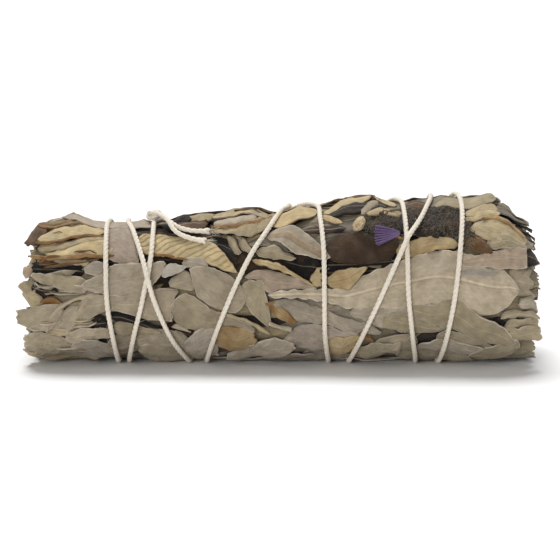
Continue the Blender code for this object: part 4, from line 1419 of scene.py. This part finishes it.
FRONT_LEAVES = (
    Leaf((-2.9, 5, 3.5, 5, 12.5, 5, 15.9, 13, 21.6, 20, 30.2, 29, 37.2, 26, 43.6, 17, 47.5, 11),
         (-2.9, 1, 2.5, -1, 9.7, -5, 14.2, -10, 23.6, -10, 31.6, -10, 38.7, -17, 43.8, -14, 47.6, -1),
         0.35, 0.04, 0.88, rib=0.24, rib_at=0.1),
    Leaf((35.7, 14, 39.5, 17, 43.4, 15), (35.7, 11, 40.3, 10, 43.8, 13), 0.8, 0.08, 0.42, cup=-0.6, rib=0.0),
    Leaf((36, 21, 41.7, 27, 45.1, 30, 49.3, 38), (35.9, 16, 39.6, 17, 43, 16, 46.9, 17, 49.3, 23),
         0.5, 0.06, 0.7, blush=0.3, ends=(End.ROUND, End.SHARP)),
    Leaf((25.4, -7, 29.6, -8, 33.8, -5, 35.4, -5, 38.5, -13, 40.7, -17, 43, -19, 46.7, -31),
         (25.4, -15, 29.9, -22, 32.8, -26, 37.1, -31, 41.2, -38, 47, -39), 0.65, 0.08, 0.5, roll=(0.0, 0.7)),
    Leaf((-3, -3, -1.3, -1, 1.1, -1, 8.1, -10, 14.6, -19, 18.7, -24),
         (-2.3, -4, 1.1, -17, 2.9, -20, 7.8, -21, 15.9, -31, 20.8, -32), -0.15, 0.06, 0.5),
    Leaf((13.6, -9, 23.6, -9, 31.7, -10, 34.2, -22), (13.6, -15, 18.5, -23, 25.3, -31, 31.3, -31, 33.7, -28),
         -0.3, 0.08, 0.5),
    Leaf((22.2, -11, 26.1, -16, 29.8, -22, 32.6, -25), (18.7, -21, 25.2, -30, 31.3, -29, 33, -27),
         0.15, 0.06, 0.6),
    Leaf((1.1, -28, 3.9, -22, 7.8, -22, 14.9, -30, 16.1, -33),
         (-0.3, -42, 5.2, -47, 7.9, -50, 12.8, -43, 15.8, -37), -0.25, 0.08, 0.55, blush=0.15),
    Leaf((-3.2, 0, -1.5, -3, 0.7, -10, 2.7, -18), (-3.2, -7, -1.1, -15, 1.5, -21, 2.9, -20),
         0.05, 0.52, 0.5, pale=0.0),
    Leaf((-8.4, 12, -6.2, 14, -4, 14, -3.2, 0, -2.4, -16), (-8.4, 7, -8, -2, -6.8, -7, -5.2, -15, -2.6, -24),
         0.3, 0.05, 0.7, rib=0.0, roll=(0.0, 0.5)),
    Leaf((-18.9, 24, -16.9, 26, -14.5, 24, -9.6, 16, -7.8, 12),
         (-17.3, 4, -15.7, -1, -13.9, -6, -10.4, -11, -7, -7),
         0.5, 0.06, 0.42, rib=0.0, roll=(0.0, 0.4), ends=(End.SHARP, End.ROUND)),
    Leaf((-23.9, 13, -22.3, 18, -19.3, 25, -18.5, 25), (-21.1, 8, -19.7, 9, -18.3, 8, -17.1, 4),
         0.2, 0.1, 0.4),
    Leaf((-21.9, 7, -20.1, 9, -16.7, 1, -13.3, -9, -8.6, -17, -6, -22),
         (-23.2, -17, -21.6, -22, -16.8, -24, -13.3, -23, -8.6, -23, -5.4, -28),
         0.1, 0.15, 0.3, roll=(0.0, 0.9), rib=0.0),
    Leaf((-13.3, -8, -7.6, -14, -4.2, -21, -2.4, -26), (-13.3, -11, -7.6, -18, -5, -24, -2.6, -28),
         0.5, 0.3, 0.5, cup=-0.9, ends=TORN_ENDS),
    Leaf((-2.8, -17, 0.3, -21, 1.9, -23), (-2.8, -21, 0.3, -26, 1.7, -27),
         0.5, 0.05, 0.85, cup=-1.0, ends=CUT_ENDS),
    Leaf((-20.1, -36, -17.8, -24, -15.7, -21, -13.3, -21), (-20.4, -58, -17.1, -58, -13.5, -56),
         0.25, 0.03, 0.85, wave=0.4, ends=TORN_ENDS),
    Leaf((-13.8, -30, -12.3, -21, -8.6, -22, -6.2, -23), (-13.8, -42, -11.2, -44, -7.7, -47, -5.2, -35),
         0.4, 0.5, 0.45, pale=0.0, ends=TORN_ENDS, wave=0.4),
    Leaf((-11.2, -49, -7.9, -44, -5.4, -36, -2.2, -32, 0.5, -35, 2.3, -38),
         (-11.3, -59, -5.5, -60, -0.5, -55, 2.3, -46), 0.3, 0.03, 0.8, wave=0.4, ends=TORN_ENDS),
    Leaf((-30.2, -20, -27, -23, -23.9, -25, -18.8, -25), (-30.6, -49, -25.4, -59, -19.3, -68, -13.7, -77),
         -0.1, 0.06, 0.55),
    Leaf((-22.6, -19, -20.8, -18, -18.8, -24), (-22.5, -24, -20.4, -25, -18.6, -26),
         0.4, 0.12, 0.6, cup=-1.2),
    Leaf((-36, -33, -32.7, -27, -28.9, -32), (-36.5, -55, -33.3, -62, -29.2, -53), -0.15, 0.07, 0.5),
    Leaf((-29.5, -36, -23.4, -40, -17, -49), (-29.9, -59, -23.9, -74, -19, -80), 0.15, 0.05, 0.6),
    # Painted shade: a sunken, nearly black leaf that stands for a dark gap between leaves.
    Leaf((-35.4, -10, -32.8, -8, -29.1, -14, -24.8, -24), (-34.8, -15, -31, -21, -27, -27, -24.8, -26),
         -0.6, 1.0, 0.3),
    Leaf((-34.8, -17, -31.6, -17, -28, -23, -24.7, -25), (-34.5, -28, -32.2, -32, -29.3, -30, -24.8, -28),
         -0.15, 0.22, 0.5),
    # Painted shade: a sunken, nearly black leaf that stands for a dark gap between leaves.
    Leaf((-41.6, -15, -38.1, -11, -35.4, -10), (-41.3, -24, -38.2, -25, -35.6, -25), -0.6, 1.0, 0.3),
    Leaf((-44.1, -26, -41.2, -20, -37.1, -21, -34.7, -24), (-44.4, -32, -42.4, -34, -37.2, -32, -34.8, -35),
         0.15, 0.05, 0.7, roll=(0.5, 0.9)),
    Leaf((-43.3, -38, -41.3, -30, -37.7, -33, -34, -46), (-43.4, -43, -39.7, -53, -37.1, -57, -34.3, -62),
         0.1, 0.12, 0.48, roll=(0.6, 0.6)),
    Leaf((-52.4, -25, -49.4, -24, -45.4, -29, -42.6, -34), (-53, -38, -47.8, -44, -42.9, -46),
         -0.1, 0.04, 0.62, ends=(End.TORN, End.ROUND)),
    Leaf((-53.1, -39, -47.8, -42, -42.6, -44, -37.2, -52), (-52.9, -48, -46, -56, -38.4, -68),
         -0.3, 0.08, 0.5, ends=(End.TORN, End.ROUND)),
    Leaf((-53, -49, -46, -56, -39.5, -61), (-52.8, -61, -46.7, -80, -41.7, -80),
         -0.5, 0.35, 0.4, ends=(End.TORN, End.ROUND)),
    Leaf((-54.3, -2, -51.2, -2, -45.5, 1, -42.6, 4), (-53.4, -13, -51.8, -20, -48.8, -23, -47, -25),
         0.2, 0.08, 0.55, rib=0.0, wave=0.4, ends=(End.TORN, End.ROUND)),
    Leaf((-48.7, -22, -48, -10, -45.6, 0, -41.9, 6, -37.3, 7),
         (-47.3, -24, -46.6, -14, -44.6, -4, -41.3, 2, -36.9, 3), 0.5, 0.03, 0.8, rib=0.0, cup=-1.5),
    Leaf((-46, -12, -44.7, -6, -42, -1, -39.7, 0), (-47, -26, -45.4, -28, -42.8, -20, -40.7, -14),
         0.2, 0.06, 0.65, rib=0.0, roll=(0.7, 0.0)),
    Leaf((-41.3, 2, -39.7, 7, -32.6, 4, -29, 7, -24.7, 10, -21.5, 9),
         (-42.1, -15, -39.4, -12, -37.4, -10, -34.3, -7, -31.5, -9, -27.9, -15, -22.6, -17),
         0.35, 0.06, 0.45, ends=(End.ROUND, End.TORN), roll=(0.3, 0.0)),
    Leaf((-40.7, 15, -38.5, 18, -36.3, 23, -34.9, 29, -28.9, 30, -24.8, 31, -23.4, 30),
         (-40.1, 9, -37.3, 7, -32.6, 3, -27.8, 7, -26.4, 12, -25.1, 17, -23.8, 26),
         0.5, 0.07, 0.6, wave=0.3),
    Leaf((-39.4, 31, -38, 32, -36, 32), (-40.8, 23, -38.5, 21, -35.9, 21), 0.2, 0.1, 0.45, rib=0.0),
    Leaf((-51.2, 26, -46.3, 24, -42.6, 21, -38.9, 18), (-50.8, 20, -46.3, 14, -42.6, 8, -39.3, 7),
         0.25, 0.04, 0.8, roll=(0.0, 0.5), rib=0.0),
    Leaf((-23.8, 29, -21.6, 28, -19.5, 26), (-25.3, 16, -22.7, 18, -19.5, 24),
         0.55, 0.0, 0.8, blush=-0.25, rib=0.0),
    Leaf((-53.4, 20, -52.9, 22, -50.8, 21), (-52.9, 9, -51.6, 2, -50.8, -3, -48, -3),
         -0.3, 0.25, 0.8, rib=0.0, wave=0.5, ends=TORN_ENDS),
    Leaf((-49, 5, -46.7, 7, -44.5, 1), (-49.4, 0, -46.8, -2, -44.5, -2),
         -0.3, 0.5, 0.5, rib=0.0, wave=0.5, ends=TORN_ENDS),
    Leaf((-53.3, 36, -50.9, 32), (-52.5, 22, -50.9, 25), -0.3, 0.25, 0.7, blush=0.4, rib=0.0),
    Leaf((-20.6, 31, -18.8, 33, -17.1, 33, -15.1, 29), (-20.1, 26, -18.7, 25, -15.1, 22), 0.35, 0.1, 0.5),
    Leaf((32.5, -28, 37.2, -32, 41.2, -40, 44, -44), (30.4, -37, 36.1, -40, 41.4, -46), 0.1, 0.06, 0.6),
    Leaf((27.6, -41, 32, -36, 37.4, -40, 41.3, -44), (27.3, -48, 32.3, -51, 38.5, -53, 41.4, -47),
         0.3, 0.06, 0.65, roll=(0.0, 0.7)),
    Leaf((38, -50, 42.3, -43, 47.9, -33, 48.5, -39), (38.3, -60, 43.9, -60, 46.4, -54, 48.4, -44),
         0.3, 0.04, 0.7, roll=(0.3, 0.3)),
    Leaf((18.4, -37, 22.8, -31, 26.3, -32, 28, -36), (18.6, -52, 23, -48, 26.9, -47), -0.1, 0.1, 0.45),
    Leaf((15.4, -47, 18.8, -39, 22.3, -38, 24.3, -37), (15.2, -60, 19.7, -60, 24.5, -50),
         0.25, 0.22, 0.65, wave=0.4, ends=TORN_ENDS),
    Leaf((23.3, -51, 29.1, -42, 32.2, -48, 38.9, -53), (23.5, -62, 30.6, -68, 39.5, -74),
         0.1, 0.1, 0.6, wave=0.3),
    Leaf((8.6, -33, 12.7, -31, 16.1, -31), (8.8, -60, 12.9, -56, 16, -42), 0.1, 0.4, 0.6, pale=0.0),
    Leaf((15.7, -27, 17.3, -30, 18.6, -34), (16, -40, 17.4, -40, 18.6, -38),
         0.4, 0.6, 0.5, cup=-1.0, ends=TORN_ENDS),
    Leaf((-8.9, -71, 1.5, -52, 6.5, -56, 8.7, -80), (-8.9, -80, 1.6, -80, 8.9, -80), -0.2, 0.18, 0.6),
    Leaf((3.6, -51, 9.8, -53, 14.3, -53), (3.7, -80, 10, -80, 14.6, -80), -0.5, 0.1, 0.45),
    Leaf((43.6, -15, 46.8, -9, 50.4, -8, 51.9, -11), (44.3, -19, 47.9, -15, 52, -16),
         0.3, 0.12, 0.65, cup=-0.8, ends=(End.ROUND, End.TORN)),
    Leaf((44.7, -21, 49, -15, 52.2, -15), (45.1, -28, 48.2, -26, 52.6, -24),
         0, 0.2, 0.5, ends=(End.ROUND, End.TORN), wave=0.4),
    Leaf((44.8, -27, 49.1, -21, 52.9, -21), (46, -36, 49.5, -36, 53, -32),
         0.3, 0.18, 0.6, ends=(End.ROUND, End.TORN), wave=0.5),
    # Painted shade: a sunken, nearly black leaf that stands for a dark gap between leaves.
    Leaf((41.1, -20, 43.9, -18, 45.4, -24), (41.9, -30, 44.8, -32, 46.1, -33), -0.6, 1.0, 0.3),
    Leaf((47.4, -2, 49.5, 3, 50.9, 2), (47.5, -9, 50, -9, 51.9, -9),
         0, 0.1, 0.55, ends=(End.ROUND, End.TORN), cup=-0.8),
    Leaf((44.9, 17, 47.5, 22, 50, 24), (45.3, -2, 47.9, 0, 50.6, 0),
         -0.35, 0.12, 0.6, ends=(End.ROUND, End.TORN), cup=-0.5),
    Leaf((46.9, -41, 49.3, -38, 51.5, -41), (47.6, -64, 50.1, -64, 51.7, -54),
         -0.3, 0.2, 0.55, ends=(End.ROUND, End.TORN), cup=-0.6),
)
OCHRE_LEAVES = (
    Leaf((-50.2, 61, -47.9, 69, -43, 71, -38.3, 74, -36.6, 71), (-50.3, 55, -47.6, 55, -42.7, 57, -36.4, 59),
         0.3, 0.34, 0.72, rib=0.0),
    Leaf((-50.7, 56, -47.6, 56, -42.7, 58, -36.4, 60), (-50.6, 52, -47.5, 52, -42.6, 54, -36.3, 56),
         0.55, 0.56, 0.6, cup=-1.4, rib=0.0),
    Leaf((-50.3, 54, -42.7, 56, -36.4, 60), (-49.9, 45, -45, 46, -41.1, 48, -36.3, 52), -0.05, 0.32, 0.42),
    Leaf((-48.4, 43, -43.7, 47, -40.1, 49, -36.5, 53, -34.4, 52), (-48.3, 40, -41.1, 37, -34.2, 36),
         0.25, 0.36, 0.75, rib=0.0),
    Leaf((-52.1, 45, -47.3, 40, -42.3, 39, -34.2, 39), (-51.8, 40, -47.2, 35, -42.3, 34, -34.2, 35),
         0.55, 0.53, 0.7, cup=-1.4, rib=0.0),
    Leaf((-47.5, 38, -43.2, 35, -39.1, 34), (-45.2, 32, -42.1, 30, -39.2, 28), -0.1, 0.3, 0.6, rib=0.0),
    Leaf((-53, 62, -51.7, 76, -50.3, 99), (-52.3, 54, -50.2, 53, -48.5, 68),
         0.1, 0.72, 0.75, rib=0.0, ends=TORN_ENDS),
    Leaf((-35.7, 77, -33.4, 84, -30.6, 72), (-37.2, 37, -35, 33, -32.1, 29, -29.1, 30),
         0.3, 0.08, 0.55, ends=CUT_ENDS, blush=0.2, rib=0.0),
    Leaf((-30, 61, -25.9, 59, -21.3, 53, -16.8, 48, -14.1, 43, -12.3, 38, -10.8, 29, -9, 20),
         (-29.7, 38, -25.7, 37, -20.2, 31, -15.7, 29, -13.4, 23, -9, 19),
         0.4, 0.37, 0.72, vein=0.7, rib=0.0, rib_at=-1.0, fold=0.0),
    Leaf((-26.7, 40, -22.8, 36, -19.3, 33), (-26.7, 36, -22.8, 33, -19.3, 29),
         0.6, 0.54, 0.6, cup=-1.4, rib=0.0),
    Leaf((-10.9, 51, -9.5, 52, -8.2, 36), (-11.5, 48, -10.3, 35, -9, 33),
         0.1, 0.2, 0.7, cup=-1.2, rib=0.0, ends=CUT_ENDS),
    Leaf((-8.9, 50, -7.7, 51, -5.8, 37), (-9.5, 48, -8.4, 37, -7, 34),
         0.2, 0.18, 0.65, cup=-1.2, rib=0.0, ends=CUT_ENDS),
    Leaf((-5, 40, -1.9, 41, 2.7, 29), (-5.6, 32, -1.9, 29, 2.7, 26), 0.35, 0.18, 0.6, cup=-0.6),
    Leaf((-2.8, 55, -0.5, 56, 1.9, 54, 4.3, 47, 7.1, 38, 9.7, 28),
         (-3.6, 47, -1.1, 42, 2.7, 30, 6.5, 26, 9.5, 26),
         0.6, 0.15, 0.52, roll=(0.9, 0.7), pale=0.3, rib=0.4),
    Leaf((-6.2, 31, -0.9, 26, 2.7, 16, 6.7, 7), (-6.2, 27, -2.1, 22, 1.5, 16, 4.1, 10, 6.7, 5),
         0.35, 0.42, 0.65, pale=0.0),
    Leaf((-7.6, 18, -5.4, 22, -2.1, 21, 2.3, 14, 6.9, 6), (-7.6, 15, -4.4, 13, -3.4, 5, 1.5, 5, 6.9, 5),
         0.15, 0.08, 0.45, blush=0.3),
    Leaf((8.5, 12, 10.9, 17, 13.9, 19, 17.1, 19), (9.1, 6, 11.5, 4, 13.5, 4, 17.1, 18),
         0.7, 0.46, 0.55, pale=0.0, fold=0.5),
    Leaf((5.5, 13, 6.7, 19, 8.1, 20), (5.9, 7, 8.1, 6), 0.3, 0.36, 0.6, wave=0.5, ends=TORN_ENDS, rib=0.0),
    Leaf((-3, 80, 1.1, 85, 4.5, 86, 7, 88), (-2.4, 55, 0.3, 55, 2.7, 57, 7.7, 66),
         0.9, 0.38, 0.75, pale=0.2),
    Leaf((7.9, 73, 10.1, 64, 12.3, 54), (7.8, 62, 10.1, 55, 12.3, 51), 0.55, 0.42, 0.7, cup=-0.8),
    Leaf((-14.8, 60, -9.3, 59, -5.5, 67, -2.6, 85, -1.4, 99),
         (-14.4, 53, -9.3, 49, -6.6, 49, -3.4, 57, -1.6, 67), 0.6, 0.24, 0.7, rib=0.0),
    Leaf((-14.8, 60, -9.3, 59, -5.5, 67, -2.4, 85), (-14.6, 56, -9.3, 55, -5.2, 61, -2, 74),
         0.85, 0.58, 0.55, cup=-1.4, rib=0.0),
    Leaf((-13.7, 67, -9.4, 74, -5.7, 75), (-14.4, 59, -9.3, 60, -5, 65),
         0.75, 0.06, 0.95, cup=-0.7, rib=0.0),
    Leaf((-22, 75, -18.8, 79, -15.4, 74), (-22.2, 59, -18.5, 58, -15.3, 59), 0.35, 0.78, 0.95, wave=0.4),
    Leaf((17, 62, 20.8, 67, 24.7, 69), (17, 57, 20.7, 58, 24.5, 59), 0.65, 0.36, 0.65, cup=-0.6),
    Leaf((37.7, 47, 40.9, 52, 43.8, 54, 46.6, 51, 49.7, 47), (38, 39, 41.8, 35, 45.4, 32, 49.5, 38),
         0.5, 0.28, 0.75, rib=0.0),
    Leaf((40.5, 54, 43.8, 55, 46.6, 52, 49.7, 48), (40.4, 50, 43.7, 51, 46, 46, 48.9, 43),
         0.8, 0.52, 0.65, cup=-1.4, rib=0.0),
    Leaf((40.8, 36, 44.1, 40, 46.7, 40, 49.5, 39), (41.7, 28, 45.7, 30, 49.4, 37), 0.65, 0.2, 0.65),
    Leaf((38.6, 40, 40.8, 38, 42.7, 30), (36, 31, 38.2, 26, 41.6, 23), 0.75, 0.66, 0.75, cup=-0.8, rib=0.0),
    Leaf((22.9, 35, 28.8, 40, 32.7, 37, 35.5, 35), (22.8, 24, 26.8, 24, 30.2, 28, 35.2, 28),
         0.15, 0.42, 0.5),
    Leaf((3.9, 49, 7.2, 55, 12.9, 52), (3.9, 46, 7.2, 46, 12.8, 45), 0.4, 0.85, 0.6, cup=-0.8),
    # Painted shade: these last four sunken, nearly black leaves stand for dark gaps between leaves.
    Leaf((8.6, 24, 14, 23, 23.7, 25), (8.5, 20, 14, 20, 23.6, 21), -0.7, 1.0, 0.3),
    Leaf((-15.6, 53, -12.8, 54, -9.5, 48), (-14.4, 40, -11.7, 33, -8.6, 22), -0.65, 1.0, 0.2),
    Leaf((0.3, 31, 3.5, 29, 7.9, 26), (0.7, 23, 3.9, 15, 7.9, 13), -0.65, 1.0, 0.2),
    Leaf((-51.3, 38, -45.3, 35, -39.9, 29), (-50.9, 23, -45.2, 22, -40.3, 20), -0.7, 1.0, 0.25),
)
TOP_LEAVES = (
    Leaf((-47.1, 99, -42.3, 99, -39.1, 99, -33.9, 99, -28.9, 99, -26.9, 83),
         (-44.4, 79, -39.1, 74, -33.3, 72, -26.9, 70), 1, 0.05, 0.85, blush=0.1, rib=0.0),
    Leaf((-50.5, 99, -46.7, 99, -42.5, 99, -38.2, 78), (-51.1, 71, -48, 72, -44.3, 74, -38, 71),
         0.45, 0.55, 0.45, pale=0.2),
    Leaf((-20, 81, -17.2, 90, -14.2, 82), (-19.5, 70, -15.9, 68, -13.9, 69), 0.75, 0.25, 0.6, cup=-0.6),
    Leaf((-24.5, 75, -22.4, 86, -20.5, 99, -18.8, 84), (-25.2, 65, -22, 61, -18.8, 63),
         0.75, 1.0, 0.6, cup=-0.8, rib=0.0),
    Leaf((-14.6, 79, -11.3, 85, -8.9, 89, -2.6, 84), (-14.5, 67, -9.8, 72, -5.7, 72, -2.6, 72),
         0.85, 0.3, 0.6, roll=(0.6, 0.0)),
    Leaf((-10.1, 84, -7.8, 88, -4.1, 84), (-10, 78, -6.7, 77, -4, 76), 1.05, 0.85, 0.5, cup=-1.0),
    Leaf((7.9, 70, 10.9, 84, 14.1, 95, 18, 89), (8.5, 66, 11.8, 71, 15.9, 73, 18.6, 73),
         0.9, 0.36, 0.72, cup=-0.6),
    Leaf((9.8, 72, 13.9, 78, 21.5, 75), (9.7, 61, 14.8, 62, 21.4, 64), 0.4, 0.95, 0.4),
    Leaf((12.2, 92, 16.2, 99, 20.4, 84), (12.7, 81, 16.4, 80, 20.3, 75), 1, 0.72, 0.6, cup=-1.0),
    Leaf((19, 87, 21.5, 99, 23.7, 84), (18.4, 76, 21.1, 74, 23.5, 72), 1, 0.32, 0.82, cup=-0.8),
    Leaf((15.6, 60, 17.1, 72, 19.1, 77), (16.6, 57, 18.5, 64, 20.2, 70), 0.95, 0.2, 0.6, cup=-0.9),
    Leaf((24.5, 79, 27, 91, 29.5, 84, 30.6, 78), (24.5, 71, 27.1, 68, 30.3, 66), 1, 0.78, 0.95, cup=-1.0),
    Leaf((31.3, 72, 33.9, 80, 40.6, 86, 43.8, 78), (30.9, 66, 37.4, 64, 43.8, 70),
         1.05, 0.2, 0.75, roll=(0.5, 0.5)),
    Leaf((37, 61, 41.5, 68, 44.1, 67), (36.8, 54, 43.9, 58), 0.65, 0.32, 0.6, roll=(0.4, 0.4)),
    Leaf((31.1, 70, 38.4, 70, 44.4, 76), (30.9, 63, 38.2, 61, 44.3, 67), 0.3, 0.9, 0.4),
    Leaf((23.1, 41, 23.9, 41, 24.9, 40), (23, 39, 23.8, 38, 24.8, 37), 1.25, 0.55, 0.7, cup=-1.0, rib=0.0),
    Leaf((36.7, 56, 41.3, 61, 44.6, 61), (36.9, 49, 41.1, 52, 44.4, 55), 0.5, 0.38, 0.55),
)
DARK_LEAF = Leaf(
    (8.2, 43, 12.6, 45, 18.7, 43, 23.6, 44),
    (8.9, 23, 12.1, 22, 18.6, 21, 23.4, 25),
    0.1, 0.8, 0.55, rib=0.0, vein=0.0,
)
DOWNY_LEAF = Leaf(
    (17, 59, 20.7, 63, 24.6, 74, 30.2, 69, 34.7, 66, 38.1, 56, 39.1, 32),
    (16.9, 41, 20.5, 43, 24.2, 45, 28.7, 40, 33.7, 34, 36.9, 30, 38.5, 30),
    0.3, 0.97, 0.9, rib=0.0, vein=0.0,
)
DARK_PETAL = Leaf(
    (-51.1, 20, -48.4, 18, -45.7, 13),
    (-50.8, 9, -48.8, 4, -45.7, 7),
    -0.55, 0.98, 0.7,
)

SPRIGS = (
    Sprig("front_sage_leaves", "sage_leaves_front", "sage_leaf", (-75, -75), (29, 40), FRONT_LEAVES, 11),
    Sprig("front_ochre_leaves", "ochre_leaves_front", "ochre_leaf", (29, 40), (70, 72), OCHRE_LEAVES, 12),
    Sprig("top_mixed_leaves", "mixed_leaves_top", "ochre_leaf", (70, 72), (112, 108), TOP_LEAVES, 13),
    Sprig("upper_back_leaves", "sage_leaves_back_high", "sage_leaf", (112, 108), (166, 170), (), 14, 2),
    Sprig("lower_back_leaves", "sage_leaves_back_low", "sage_leaf", (166, 170), (228, 224), (), 15, 2),
    Sprig("underside_leaves", "sage_leaves_under", "sage_leaf", (228, 224), (285, 285), (), 16, 2),
)


def main() -> None:
    """Builds the bunch piece by piece, then its stage."""
    logging.basicConfig(level=logging.INFO, format="%(name)s: %(message)s")
    bunch = Bunch()
    run = StringRun(bunch)
    press = LeafPress(bunch, run)
    Studio().build()
    Foliage(bunch, press, SPRIGS).build()
    LooseLeaves(press).build()
    Binding(bunch, run).build()
    Stems(bunch).build()
    Bloom(bunch, press).build()


if __name__ == "__main__":
    main()
